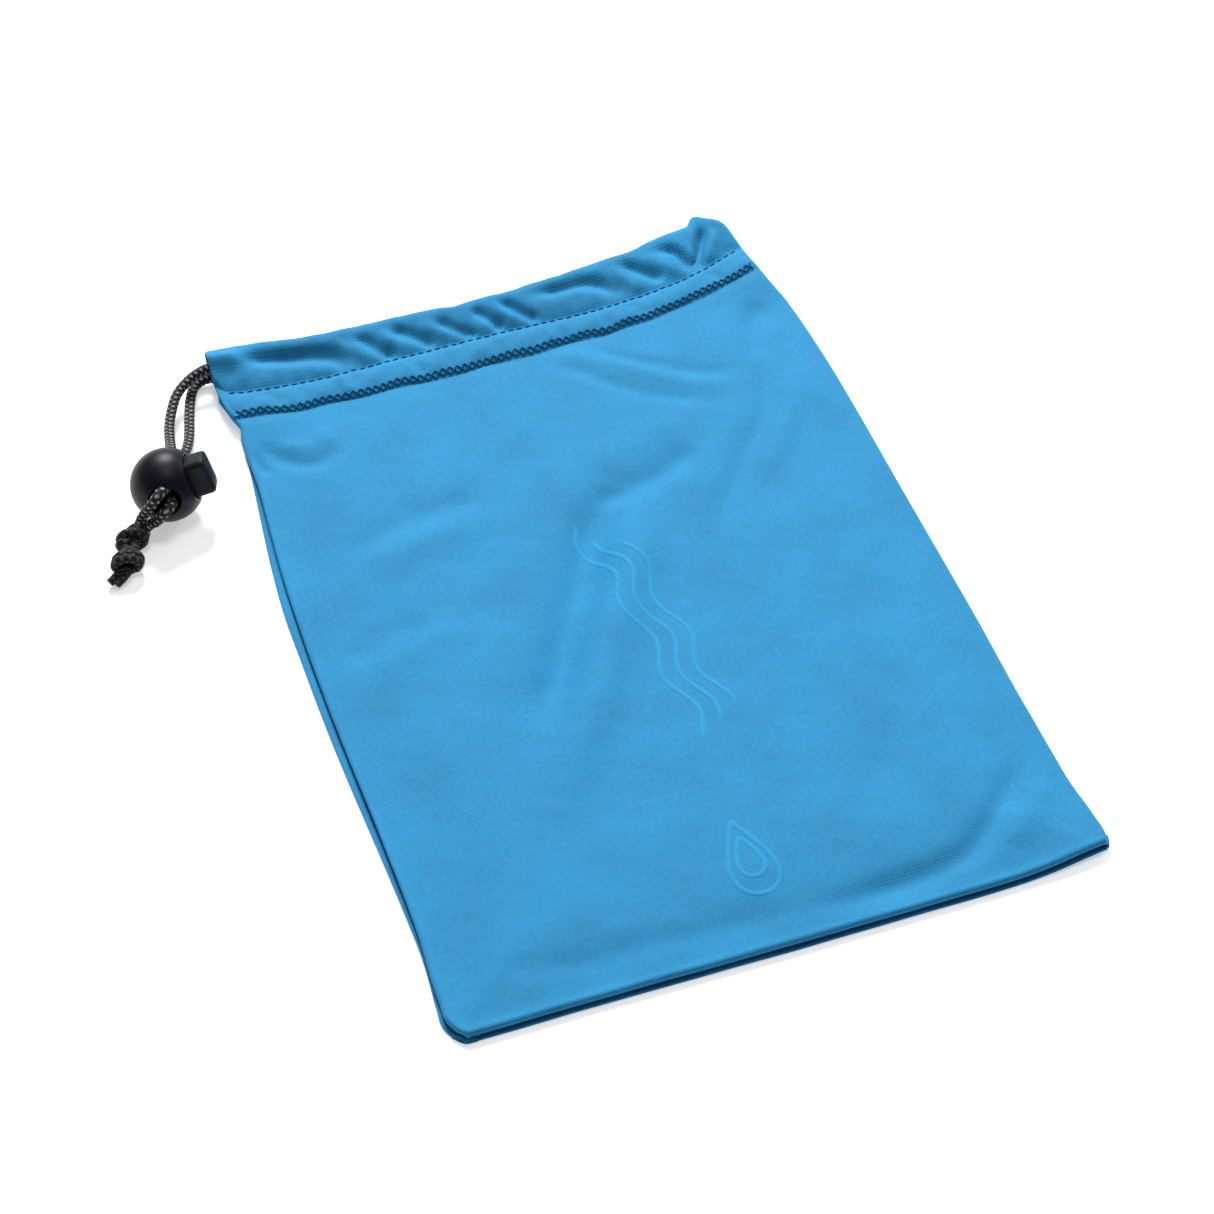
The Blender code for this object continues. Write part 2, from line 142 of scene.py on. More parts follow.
def curve_through(knots):
    """A smooth function of one number through a few (place, value) pairs."""
    xs, ys = np.array(knots, float).T
    slopes = np.gradient(ys, xs)

    def value(x):
        x = np.clip(np.asarray(x, float), xs[0], xs[-1])
        i = np.clip(np.searchsorted(xs, x) - 1, 0, len(xs) - 2)
        step = xs[i + 1] - xs[i]
        t = (x - xs[i]) / step
        rising = ys[i] * (1 + 2 * t) * (1 - t) ** 2 + slopes[i] * step * t * (1 - t) ** 2
        return rising + ys[i + 1] * t * t * (3 - 2 * t) + slopes[i + 1] * step * t * t * (t - 1)

    return value


def unit(vectors):
    return vectors / np.maximum(np.linalg.norm(vectors, axis=-1, keepdims=True), 1e-9)


def distances_along(path):
    """Distance of each of the path's points from its start."""
    return np.concatenate([[0], np.cumsum(np.linalg.norm(np.diff(path, axis=0), axis=1))])


def link(name, mesh, mat):
    obj = bpy.data.objects.new(name, mesh)
    scene.collection.objects.link(obj)
    mesh.materials.append(mat)
    return obj


# Camera, floor and light


def look_at(obj, target):
    obj.rotation_euler = (Vector(target) - obj.location).to_track_quat("-Z", "Y").to_euler()


def add_camera():
    camera = bpy.data.objects.new("camera", bpy.data.cameras.new("camera"))
    scene.collection.objects.link(camera)
    flat = math.cos(VIEW_RISE)
    away = Vector((math.sin(VIEW_TURN) * flat, -math.cos(VIEW_TURN) * flat, math.sin(VIEW_RISE)))
    camera.location = VIEW_TARGET + away * VIEW_REACH
    look_at(camera, VIEW_TARGET)
    camera.data.lens = VIEW_LENS
    camera.data.clip_start = 0.01
    scene.camera = camera


def add_light(name, place, size, power):
    light = bpy.data.lights.new(name, "AREA")
    light.shape = "RECTANGLE"
    light.size, light.size_y = size
    light.energy = power
    obj = bpy.data.objects.new(name, light)
    obj.location = place
    look_at(obj, (0, 0, 0))
    scene.collection.objects.link(obj)


def add_studio():
    corners = [(FLOOR_REACH * x, FLOOR_REACH * y, 0) for x, y in ((-1, -1), (1, -1), (1, 1), (-1, 1))]
    mesh = bpy.data.meshes.new("floor")
    mesh.from_pydata(corners, [], [(0, 1, 2, 3)])
    paper = Nodes("floor_paper")
    paper.look(Base_Color=(FLOOR_GREY, FLOOR_GREY, FLOOR_GREY, 1), Roughness=0.9, Specular_IOR_Level=0.1)
    paper.look(Emission_Color=(1, 1, 1, 1), Emission_Strength=FLOOR_GLOW)
    link("floor", mesh, paper.material)
    for light in LIGHTS:
        add_light(*light)
    world = bpy.data.worlds.new("studio")
    world.use_nodes = True
    world.node_tree.nodes["Background"].inputs["Color"].default_value = (1, 1, 1, 1)
    world.node_tree.nodes["Background"].inputs["Strength"].default_value = WORLD_STRENGTH
    scene.world = world
    scene.view_settings.view_transform = "Standard"


# Materials


class Nodes:
    """A material's node tree with short calls for the nodes used here."""

    def __init__(self, name):
        self.material = bpy.data.materials.new(name)
        self.material.use_nodes = True
        self.tree = self.material.node_tree
        self.shader = self.tree.nodes["Principled BSDF"]

    def add(self, kind, settings=(), **inputs):
        node = self.tree.nodes.new(kind)
        for name, value in dict(settings).items():
            setattr(node, name, value)
        for name, value in inputs.items():
            self.feed(node.inputs[name.replace("_", " ")], value)
        return node

    def feed(self, socket, value):
        if isinstance(value, bpy.types.NodeSocket):
            self.tree.links.new(value, socket)
        else:
            socket.default_value = value

    def look(self, **values):
        """Values or sockets for the shader's own sockets, such as Base_Color=tint."""
        for name, value in values.items():
            self.feed(self.shader.inputs[name.replace("_", " ")], value)

    def math(self, operation, first, second=0.0):
        node = self.tree.nodes.new("ShaderNodeMath")
        node.operation = operation
        self.feed(node.inputs[0], first)
        self.feed(node.inputs[1], second)
        return node.outputs[0]

    def times(self, first, second):
        return self.math("MULTIPLY", first, second)

    def plus(self, first, *others):
        for other in others:
            first = self.math("ADD", first, other)
        return first

    def minus(self, first, second):
        return self.math("SUBTRACT", first, second)

    def split(self, vector):
        node = self.tree.nodes.new("ShaderNodeSeparateXYZ")
        self.feed(node.inputs[0], vector)
        return node.outputs[0], node.outputs[1]

    def noise(self, scale, detail, where):
        node = self.add("ShaderNodeTexNoise", Scale=scale, Detail=detail)
        self.feed(node.inputs["Vector"], where)
        return node.outputs["Fac"]

    def mix(self, factor, first, second):
        node = self.tree.nodes.new("ShaderNodeMix")
        node.data_type = "RGBA"
        self.feed(node.inputs["Factor"], factor)
        self.feed(node.inputs[6], first)
        self.feed(node.inputs[7], second)
        return node.outputs[2]

    def bump(self, height, distance, strength):
        node = self.add("ShaderNodeBump", Height=height, Distance=distance, Strength=strength)
        return node.outputs["Normal"]


def shaded(colour, factor):
    return (*[min(1.0, c * factor) for c in colour], 1)


# Size of one knitted stitch, how far its legs slant and how strong the cloth's blotches are
WALE, COURSE = 0.85, 0.7
LEG_SLANT = 1.3
MOTTLE, DRIFT = 0.9, 0.8


def knit_cloth(name, colour):
    """Fine weft knit: columns of small V-shaped stitches, with mottling, painted shade in the stitches'
    grooves and a soft sheen.
    """
    n = Nodes(name)
    where = n.add("ShaderNodeUVMap", {"uv_map": "cloth"}).outputs["UV"]
    across, along = n.split(where)
    wale = n.times(across, 1 / WALE)
    course = n.times(along, 1 / COURSE)
    leg = n.math("ABSOLUTE", n.minus(n.math("FRACT", wale), 0.5))
    phase = n.plus(course, n.times(leg, LEG_SLANT))
    loops = n.math("SINE", n.times(phase, 2 * math.pi))
    ribs = n.math("COSINE", n.times(wale, 4 * math.pi))
    fuzz = n.noise(3.0, 3.0, where)
    height = n.plus(n.times(loops, 0.5), n.times(ribs, 0.25), n.times(fuzz, 1.6))
    fleck = n.times(n.minus(n.noise(0.9, 4.0, where), 0.5), MOTTLE)
    drift = n.times(n.minus(n.noise(0.06, 3.0, where), 0.5), DRIFT)
    # Blotches and mottling are the cloth's own random tone; the loops term is painted shade, darker in the
    # knit's grooves and lighter on its loops.
    shade = n.plus(fleck, drift, n.times(loops, 0.08))
    tint = n.mix(n.plus(shade, 0.5), shaded(colour, 0.76), shaded(colour, 1.25))
    n.look(Base_Color=tint, Normal=n.bump(height, 0.00006, 0.55), Roughness=0.78, Specular_IOR_Level=0.25)
    n.look(Sheen_Weight=0.12, Sheen_Roughness=0.45, Sheen_Tint=(0.35, 0.75, 1.0, 1))
    return n.material


def thread(name, colour):
    """Twisted polyester thread."""
    n = Nodes(name)
    twist = n.noise(2600.0, 2.0, n.add("ShaderNodeTexCoord").outputs["Object"])
    tint = n.mix(twist, shaded(colour, 0.6), shaded(colour, 1.4))
    n.look(Base_Color=tint, Normal=n.bump(twist, 0.00005, 0.5), Roughness=0.8, Specular_IOR_Level=0.08)
    return n.material


# How the grey flecks of the braid lean, and how much of a crossing they cover
FLECK_LONG, FLECK_WIDE = 7.0, 2.5
FLECK_COVER = 1.6


def braided_cord(name, grey_share):
    """Black braid with grey yarns that lean to and fro in neighbouring columns."""
    n = Nodes(name)
    where = n.add("ShaderNodeUVMap", {"uv_map": "cord"}).outputs["UV"]
    turn, length = n.split(where)
    around = n.times(turn, BRAID_CARRIERS)
    along = n.times(length, 1 / BRAID_PITCH)
    one = n.plus(around, along)
    other = n.minus(around, along)
    cell = n.plus(n.math("FLOOR", one), n.math("FLOOR", other))
    odd = n.math("MODULO", n.math("ABSOLUTE", cell), 2.0)
    over = n.math("ABSOLUTE", n.math("SINE", n.times(one, math.pi)))
    under = n.math("ABSOLUTE", n.math("SINE", n.times(other, math.pi)))
    leaning = n.times(n.math("POWER", over, FLECK_LONG), n.math("POWER", under, FLECK_WIDE))
    mirrored = n.times(n.math("POWER", under, FLECK_LONG), n.math("POWER", over, FLECK_WIDE))
    bar = n.plus(leaning, n.times(odd, n.minus(mirrored, leaning)))
    fleck = n.math("MINIMUM", n.times(bar, FLECK_COVER), 1.0)
    stretched = n.add("ShaderNodeMapping", Vector=where, Scale=(14.0, 1.0, 1.0)).outputs[0]
    fibres = n.noise(9.0, 2.0, stretched)
    grey = n.mix(fibres, (*[0.09 * grey_share] * 3, 1), (*[0.40 * grey_share] * 3, 1))
    black = n.mix(fibres, (0.002, 0.002, 0.003, 1), (0.010, 0.010, 0.012, 1))
    height = n.plus(n.times(over, under), n.times(fibres, 0.4))
    n.look(Base_Color=n.mix(fleck, black, grey), Normal=n.bump(height, 0.00015, 0.6))
    n.look(Roughness=0.62, Specular_IOR_Level=0.15, Sheen_Weight=0.04)
    return n.material


def moulded_plastic(name, colour, roughness, grain):
    """Matt moulded plastic with a fine spark-eroded grain and faint handling marks."""
    n = Nodes(name)
    where = n.add("ShaderNodeTexCoord").outputs["Object"]
    broad = n.noise(120.0, 3.0, where)
    n.look(Base_Color=n.mix(broad, shaded(colour, 0.8), shaded(colour, 1.25)))
    n.look(Roughness=n.plus(n.times(broad, 0.16), roughness - 0.08), Specular_IOR_Level=0.15)
    n.look(Normal=n.bump(n.noise(grain, 3.0, where), 0.00003, 0.35))
    return n.material


def raised_print(name, colour):
    """A thin tone-on-tone print: smoother than the knit around it, with a slightly broken surface."""
    n = Nodes(name)
    pores = n.noise(1800.0, 3.0, n.add("ShaderNodeTexCoord").outputs["Object"])
    tint = n.mix(pores, shaded(colour, 0.85), shaded(colour, 1.2))
    n.look(Base_Color=tint, Normal=n.bump(pores, 0.00004, 0.4), Roughness=0.7, Specular_IOR_Level=0.1)
    return n.material


def steel_wire(name):
    n = Nodes(name)
    scratches = n.noise(900.0, 2.0, n.add("ShaderNodeTexCoord").outputs["Object"])
    n.look(Metallic=1.0, Base_Color=(0.62, 0.62, 0.64, 1), Roughness=n.plus(n.times(scratches, 0.2), 0.22))
    return n.material


# Cord and tubes


def between(a, b, c, d, t):
    """The point at share t of the way from b to c on a smooth curve through a, b, c and d."""
    bend = 2 * a - 5 * b + 4 * c - d
    twist = 3 * b - a - 3 * c + d
    return b + 0.5 * ((c - a) * t + bend * t**2 + twist * t**3)


def smooth_route(points, spacing):
    """Points about spacing apart on one smooth curve through the route's points."""
    points = [np.array(p, float) for p in points]
    padded = [points[0] * 2 - points[1]] + points + [points[-1] * 2 - points[-2]]
    fine = []
    for a, b, c, d in zip(padded, padded[1:], padded[2:], padded[3:]):
        fine += [between(a, b, c, d, step / 32) for step in range(32)]
    fine.append(points[-1])
    fine = np.array(fine)
    travelled = distances_along(fine)
    count = max(4, int(round(travelled[-1] / spacing)) + 1)
    stations = np.linspace(0, travelled[-1], count)
    return np.stack([np.interp(stations, travelled, fine[:, k]) for k in range(3)], axis=1)


def rings_along(path):
    """A frame of two vectors across the path at each of its points, without twist."""
    run = unit(np.gradient(path, axis=0))
    side = np.cross(run[0], (0.0, 0.0, 1.0))
    if np.linalg.norm(side) < 0.1:
        side = np.cross(run[0], (1.0, 0.0, 0.0))
    sides = [side / np.linalg.norm(side)]
    for direction in run[1:]:
        side = sides[-1] - direction * np.dot(sides[-1], direction)
        sides.append(side / np.linalg.norm(side))
    sides = np.array(sides)
    return sides, np.cross(run, sides)


def tube(name, path, radius, mat, sides=8, braid=0.0, start=0.0, flat=1.0):
    """A closed tube along the path. braid raises the crossings of a braid, flat lowers it upwards."""
    path = np.asarray(path, float)
    across, up = rings_along(path)
    along = start + distances_along(path)
    turn = np.arange(sides) / sides
    one = BRAID_CARRIERS * turn + along[:, None] / BRAID_PITCH
    other = BRAID_CARRIERS * turn - along[:, None] / BRAID_PITCH
    pillow = np.abs(np.sin(math.pi * one) * np.sin(math.pi * other))
    reach = np.reshape(radius, (-1, 1)) * (1 + braid * (pillow - 0.5))
    angle = (turn * 2 * math.pi)[:, None]
    around = across[:, None] * np.cos(angle) + up[:, None] * np.sin(angle) * flat
    points = path[:, None] + around * reach[:, :, None]
    index = np.arange(len(path) * sides).reshape(-1, sides).tolist()
    faces, uvs = [], []
    for near, far, v0, v1 in zip(index, index[1:], along, along[1:]):
        for i in range(sides):
            k = (i + 1) % sides
            faces.append((near[i], near[k], far[k], far[i]))
            u0, u1 = i / sides, (i + 1) / sides
            uvs += [(u0, v0), (u1, v0), (u1, v1), (u0, v1)]
    for cap, v in ((index[0][::-1], along[0]), (index[-1], along[-1])):
        faces.append(cap)
        uvs += [(0.0, v)] * sides
    mesh = bpy.data.meshes.new(name)
    mesh.from_pydata((points.reshape(-1, 3) * MM).tolist(), [], faces)
    mesh.uv_layers.new(name="cord").data.foreach_set("uv", np.array(uvs, np.float32).ravel())
    mesh.shade_smooth()
    mesh.set_sharp_from_angle(angle=math.radians(50))
    return link(name, mesh, mat)


def joined(name, parts):
    """Several meshes as one piece."""
    bm = bmesh.new()
    for part in parts:
        bm.from_mesh(part.data)
    mesh = parts[0].data
    bm.to_mesh(mesh)
    bm.free()
    for part in parts[1:]:
        bpy.data.objects.remove(part)
    parts[0].name = name
    return parts[0]


def lock_matrix():
    turn = Matrix.Rotation(LOCK_TURN, 4, "Z")
    tilt = Matrix.Rotation(LOCK_TILT, 4, "X")
    roll = Matrix.Rotation(LOCK_ROLL, 4, "Y")
    return Matrix.Translation(BALL) @ turn @ tilt @ roll


def in_lock(points):
    """Points given in the lock's own axes, in the frame's axes."""
    return [tuple(lock_matrix() @ Vector(point)) for point in points]


def bore_points(side, stations):
    """Points of a strand on its straight way through the lock. side is 1 above and -1 below."""
    return in_lock([(STRAND_IN_BORE.x, y, side * STRAND_IN_BORE.z) for y in stations])


def metres(points):
    return [tuple(float(v) * MM for v in point) for point in points]


def route_length(path):
    return float(np.sum(np.linalg.norm(np.diff(path, axis=0), axis=1)))


# Where the strands' two pieces meet and where the lower ones run straight, on the lock's own Y
SPLIT_IN_LOCK = 10.0
STRAIGHT_IN_LOCK = (SPLIT_IN_LOCK, 6.0, 1.0, -3.6)
# Part of the way from the knot to the lock's mouth, for a point on each lower strand
STRETCH_SHARE = 0.85
LOCK_MOUTH = -8.5


def add_free_strands(mat):
    """Each strand in two pieces that meet where it goes into the lock."""
    upper, lower = {}, {}
    for word, side, to_lock, leaving, to_knot in (
        ("front", 1, FRONT_STRAND, FRONT_LEAVING, FRONT_END),
        ("back", -1, BACK_STRAND, BACK_LEAVING, BACK_END),
    ):
        path = smooth_route(to_lock + bore_points(side, (SPLIT_IN_LOCK,)), CORD_STEP)
        strand = tube("strand_" + word + "_hem_to_lock", path, CORD / 2, mat, STRAND_SIDES, BRAID_RELIEF)
        upper[word] = (strand, path)
        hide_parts("cord_strand_" + word)
        start = route_length(path)
        after = bore_points(side, STRAIGHT_IN_LOCK) + in_lock(leaving) + to_knot + [KNOTS[0]]
        path = smooth_route(after, CORD_STEP)
        name = "strand_" + word + "_lock_to_knot"
        strand = tube(name, path, CORD / 2, mat, STRAND_SIDES, BRAID_RELIEF, start=start)
        lower[word] = (strand, path)
        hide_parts("cord_end_" + word)
    return upper, lower


# Each knot's middle, turns and first angle, and how its turns are wound
KNOT_TURNS = [(KNOTS[0], 2.2, 0.4), (KNOTS[1], 2.4, 2.6)]
KNOT_AXIS = unit(np.array(KNOTS[1]) - np.array(KNOTS[0]))
WRAP_REACH = (2.75, 2.25)
WRAP_LENGTH = 3.5
WRAP_LEAN = 0.9
# Radius of the cord in the knot's turns, in its core and at its cut ends, as it is drawn tight
WRAP_CORD, CORE_CORD, END_CORD = CORD * 0.46, CORD * 0.48, CORD * 0.42


def wraps(centre, turns, phase):
    """The turns of a knot drawn tight: wound round its core, with both ends tucked into it."""
    t = np.linspace(0, 1, 160)
    angle = phase + turns * 2 * math.pi * t
    tuck = 0.3 + 0.7 * smoothstep(np.minimum(t, 1 - t) / 0.14)
    side = unit(np.cross(KNOT_AXIS, (0.0, 0.0, 1.0)))
    up = np.cross(side, KNOT_AXIS)
    along = (t - 0.5) * WRAP_LENGTH + WRAP_LEAN * np.cos(angle)
    wide = WRAP_REACH[0] * tuck * np.cos(angle)
    high = WRAP_REACH[1] * tuck * np.sin(angle)
    return np.array(centre) + along[:, None] * KNOT_AXIS + wide[:, None] * side + high[:, None] * up


def add_knot(mat):
    """Both strands tied in two knots drawn tight, one after the other, with short cut ends."""
    parts = []
    for centre, turns, phase in KNOT_TURNS:
        parts.append(tube("knot_part", wraps(centre, turns, phase), WRAP_CORD, mat, KNOT_SIDES, KNOT_RELIEF))
    for lean in (-1, 1):
        core = [np.array(centre) + np.array((0.9 * lean, 0.0, 0.3)) for centre in KNOTS]
        path = smooth_route([core[0], sum(core) / 2, core[1]], CORD_STEP)
        parts.append(tube("knot_part", path, CORE_CORD, mat, KNOT_SIDES, KNOT_RELIEF))
    knot = joined("double_knot", parts)
    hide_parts("cord_knot")
    ends = []
    for name, points in CUT_ENDS.items():
        path = smooth_route(points, CORD_STEP)
        end = tube(name.replace("cord_cut", "cut"), path, END_CORD, mat, KNOT_SIDES, KNOT_RELIEF)
        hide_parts(name)
        ends.append(end)
    return knot, ends


# Cord lock


BUTTON_OUT = 11.2
BUTTON_IN = -2.2
BUTTON_HOLE = 2.4
BUTTON_SIZE = (6.8, 9.2)
BUTTON_CORNER = 1.5
BUTTON_DOME = 0.35
POCKET_END = -5.6
SPRING_END = -7.4
SPRING_POCKET = 2.6
SPRING_RADIUS, SPRING_WIRE, SPRING_TURNS = 1.8, 0.4, 3.5
SPRING_REST = (-6.9, -2.7)
SPRING_SHORTENS = (-7.6, -2.0)
GAP = 0.3
# Half of the bore as (place, radius), opened out like a countersunk hole, and how far cutters reach
BORE_HALF = [(5.5, BORE_RADIUS), (7.0, 3.6), (8.2, 3.95), (9.4, 4.7), (18, 7.0)]
CUT_REACH = 18
ROUND_SIDES = 64
BALL_VOXEL, BUTTON_VOXEL = 0.2, 0.16


def lofted(rings):
    """A closed body through rings of points, with flat ends."""
    bm = bmesh.new()
    loops = [[bm.verts.new(point) for point in ring] for ring in rings]
    for first, second in zip(loops, loops[1:]):
        for i in range(len(first)):
            j = (i + 1) % len(first)
            bm.faces.new((first[i], first[j], second[j], second[i]))
    bm.faces.new(loops[0])
    bm.faces.new(loops[-1])
    return bm


def rounded_block(low, high, size, corner, dome=0.0):
    """A block along local X with rounded long edges. dome crowns its outer end."""
    half_y, half_z = size[0] / 2 - corner, size[1] / 2 - corner
    profile = []
    for quarter, (sy, sz) in enumerate(((1, 1), (-1, 1), (-1, -1), (1, -1))):
        for step in range(8):
            angle = (quarter + step / 7) * math.pi / 2
            y = sy * half_y + corner * math.cos(angle)
            z = sz * half_z + corner * math.sin(angle)
            profile.append((y, z))
    rings = [(low, 1.0), (high - 0.9, 1.0), (high - 0.45, 0.985), (high - 0.12, 0.945), (high, 0.88)]
    rings += [(high + dome * 0.3, 0.8), (high + dome * 0.8, 0.45), (high + dome, 0.15)]
    return lofted([[(x, y * k, z * k) for y, z in profile] for x, k in rings])


def rod(axis, radius, low, high, offset):
    """A cylinder along local X or Y."""
    bm = bmesh.new()
    middle = (low + high) / 2
    turn = Matrix.Rotation(math.pi / 2, 4, "Y" if axis == "X" else "X")
    place = Vector((middle, 0, 0)) if axis == "X" else Vector((offset, middle, 0))
    size = {"radius1": radius, "radius2": radius, "depth": high - low}
    where = Matrix.Translation(place) @ turn
    bmesh.ops.create_cone(bm, cap_ends=True, segments=ROUND_SIDES, matrix=where, **size)
    return bm


def flared_bore():
    """The bore that the strands run through, opened out at both mouths."""
    angles = [step / ROUND_SIDES * 2 * math.pi for step in range(ROUND_SIDES)]
    rings = []
    for y, radius in [(-y, radius) for y, radius in BORE_HALF[::-1]] + BORE_HALF:
        rings.append([(radius * math.cos(angle), y, radius * math.sin(angle)) for angle in angles])
    return lofted(rings)


def bm_object(name, bm, mat):
    bmesh.ops.recalc_face_normals(bm, faces=bm.faces)
    mesh = bpy.data.meshes.new(name)
    bm.to_mesh(mesh)
    bm.free()
    return link(name, mesh, mat)


def applied(obj):
    """The object with its modifiers made part of its mesh."""
    depsgraph = bpy.context.evaluated_depsgraph_get()
    mesh = bpy.data.meshes.new_from_object(obj.evaluated_get(depsgraph))
    obj.modifiers.clear()
    obj.data = mesh
    return obj


def cut_and_softened(obj, cutters, voxel, rounds):
    """Cuts the object, then rounds every edge a little as a mould does."""
    for cutter in cutters:
        modifier = obj.modifiers.new("cut", "BOOLEAN")
        modifier.operation = "DIFFERENCE"
        modifier.solver = "EXACT"
        modifier.object = cutter
    remesh = obj.modifiers.new("remesh", "REMESH")
    remesh.mode = "VOXEL"
    remesh.voxel_size = voxel
    smooth = obj.modifiers.new("smooth", "SMOOTH")
    smooth.factor = 0.5
    smooth.iterations = rounds
    applied(obj)
    for cutter in cutters:
        bpy.data.objects.remove(cutter)
    obj.data.transform(Matrix.Scale(MM, 4) @ lock_matrix())
    obj.data.shade_smooth()
    return obj


def add_spring(mat):
    """The compression spring behind the plunger."""
    share = np.linspace(0, 1, 127)
    angle = share * SPRING_TURNS * 2 * math.pi
    low, high = SPRING_REST
    coil = zip(low + (high - low) * share, SPRING_RADIUS * np.cos(angle), SPRING_RADIUS * np.sin(angle))
    spring = tube("spring_coil", in_lock(coil), SPRING_WIRE / 2, mat, 8)
    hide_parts("lock_spring")
    still, moving = metres(in_lock([(x, 0, 0) for x in SPRING_SHORTENS]))
    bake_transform(spring)


def add_lock(shell_mat, button_mat):
    """The ball with its flat, bore and pocket, and the plunger that grips the strands."""
    bm = bmesh.new()
    turn = Matrix.Rotation(math.pi / 2, 4, "Y")
    bmesh.ops.create_uvsphere(bm, u_segments=96, v_segments=64, radius=BALL_RADIUS, matrix=turn)
    everything = bm.verts[:] + bm.edges[:] + bm.faces[:]
    flat = {"plane_co": (BALL_FLAT, 0, 0), "plane_no": (1, 0, 0)}
    cut = bmesh.ops.bisect_plane(bm, geom=everything, clear_outer=True, **flat)
    bmesh.ops.holes_fill(bm, edges=[e for e in cut["geom_cut"] if isinstance(e, bmesh.types.BMEdge)])
    ball = bm_object("lock_ball_body", bm, shell_mat)
    pocket = rounded_block(POCKET_END, CUT_REACH, [side + 2 * GAP for side in BUTTON_SIZE], BUTTON_CORNER)
    spring_hole = rod("X", SPRING_POCKET, SPRING_END, 0, 0)
    cutters = [bm_object("cutter", cutter, shell_mat) for cutter in (flared_bore(), pocket, spring_hole)]
    cut_and_softened(ball, cutters, BALL_VOXEL, 3)
    block = rounded_block(BUTTON_IN, BUTTON_OUT - BUTTON_DOME, BUTTON_SIZE, BUTTON_CORNER, BUTTON_DOME)
    button = bm_object("lock_plunger_body", block, button_mat)
    hole = rod("Y", BORE_RADIUS, -CUT_REACH, CUT_REACH, BUTTON_HOLE)
    cut_and_softened(button, [bm_object("cutter", hole, button_mat)], BUTTON_VOXEL, 2)
    return ball, button


# Outline of the cloth and rows of the hem

# How far the edges stand in from the panel's own width, from the bottom to the mouth
LEFT_INSET = curve_through([
    (-109.4, 2.6), (-107.2, 0.3), (-104, -1.4), (-98, -1.5), (-80, -0.4), (-54, -0.2),
    (-24, -0.2), (2, 0.2), (28, 1.5), (48, 3.4), (62, 5.1), (70, 6.0),
    (79, 6.8), (83, 7.9), (89, 6.7), (96, 6.0), (101, 5.9), (108, 6.3),
])
RIGHT_INSET = curve_through([
    (-108, 2.4), (-106.6, 1.0), (-104.4, 0.0), (-97, -0.2), (-87, 0.5), (-76, 0.5), (-66, 0.4),
    (-56, 0.3), (-46, 0.0), (-36, -0.3), (-20, -0.5), (17, -0.9), (39, -1.2), (61, -1.1),
    (77, -0.3), (84, 0.4), (92, 1.9), (95, 2.4), (99.5, 3.6), (107, 4.9), (111, 5.6),
])
BOTTOM_RISE = curve_through([
    (-73, 0.8), (-64, 0.8), (-50, 0.9), (0, 0.7), (31, 0.8), (47, 0.9), (61, 1.5), (74, 3.1),
])
# Rows that run along the mouth: the overlocked edge, the lockstitch and the top fold
EDGE_ROW = curve_through([
    (-70, 86.6), (-64, 85.6), (-58, 84.8), (-52, 83.7), (-44, 83.8), (-36, 83.1), (-27, 83.6),
    (-17, 82.9), (-10, 83.0), (-4, 83.9), (3, 83.5), (10, 83.6), (17, 84.5), (26, 84.4),
    (33, 85.4), (40, 86.0), (47, 87.8), (54, 89.2), (63, 92.2), (72, 95.2),
])
LOCK_ROW = curve_through([
    (-70, 95.6), (-66, 94.4), (-50, 91.9), (-24, 91.8), (2, 92.2), (30, 92.5), (42, 94.0),
    (54, 96.7), (62, 99.6), (70, 103.2),
])
TOP_ROW = curve_through([
    (-70, 108.2), (-57, 107.0), (-45, 104.8), (-32, 103.9), (-20, 103.6), (-10, 103.1), (-6.8, 102.4),
    (-2, 103.1), (8, 103.3), (14.5, 104.3), (22, 105.0), (32, 106.6), (37, 107.4), (40, 107.5),
    (43.5, 108.4), (47, 109.7), (51, 110.8), (54.2, 111.5), (57, 111.9), (59, 112.5), (60.4, 114.6),
    (62, 115.3), (63.6, 114.5), (65.2, 113.2), (67, 112.4), (70, 110.8),
])


def left_edge(y):
    return -HALF_WIDTH + LEFT_INSET(y)


def right_edge(y):
    return HALF_WIDTH - RIGHT_INSET(y)


def bottom_edge(x):
    return BOTTOM + BOTTOM_RISE(x)


def mouth_row(x, place):
    """y of the row at a place: 0 is the overlocked edge, 1 the lockstitch and 2 the top fold."""
    edge, lock, top = EDGE_ROW(x), LOCK_ROW(x), TOP_ROW(x)
    return np.where(place < 1, edge + (lock - edge) * place, lock + (top - lock) * (place - 1))


# Sections of the hem as (place, height) from the overlocked edge, over the fold and back inside
FRONT_SECTION = [
    (0.0, 4.05), (0.12, 4.6), (0.3, 5.0), (0.6, 5.1), (0.85, 4.95), (1.0, 4.6), (1.1, 5.3),
    (1.25, 6.2), (1.4, 6.9), (1.52, 7.3), (1.62, 7.65), (1.7, 7.95), (1.78, 8.2), (1.86, 8.35),
    (1.94, 8.1), (1.985, 7.4), (2.0, 6.5), (1.975, 5.45), (1.9, 4.75), (1.8, 4.5), (1.6, 4.4),
    (1.3, 4.25), (1.0, 3.95), (0.6, 3.9), (0.2, 3.7), (0.08, 3.6),
]
BACK_SECTION = [
    (0.0, 0.45), (0.12, 0.55), (0.24, 0.45), (0.6, 0.1), (0.85, 0.2), (1.0, 0.6), (1.1, 0.4),
    (1.25, 0.1), (1.4, 0.05), (1.52, 0.05), (1.62, 0.05), (1.7, 0.05), (1.78, 0.05), (1.86, 0.1),
    (1.94, 0.45), (1.985, 1.2), (2.0, 2.1), (1.975, 3.0), (1.9, 3.75), (1.8, 3.95), (1.6, 3.6),
    (1.3, 2.9), (1.0, 2.1), (0.6, 1.9), (0.2, 1.7), (0.08, 1.6),
]
HEM_ROWS = 78
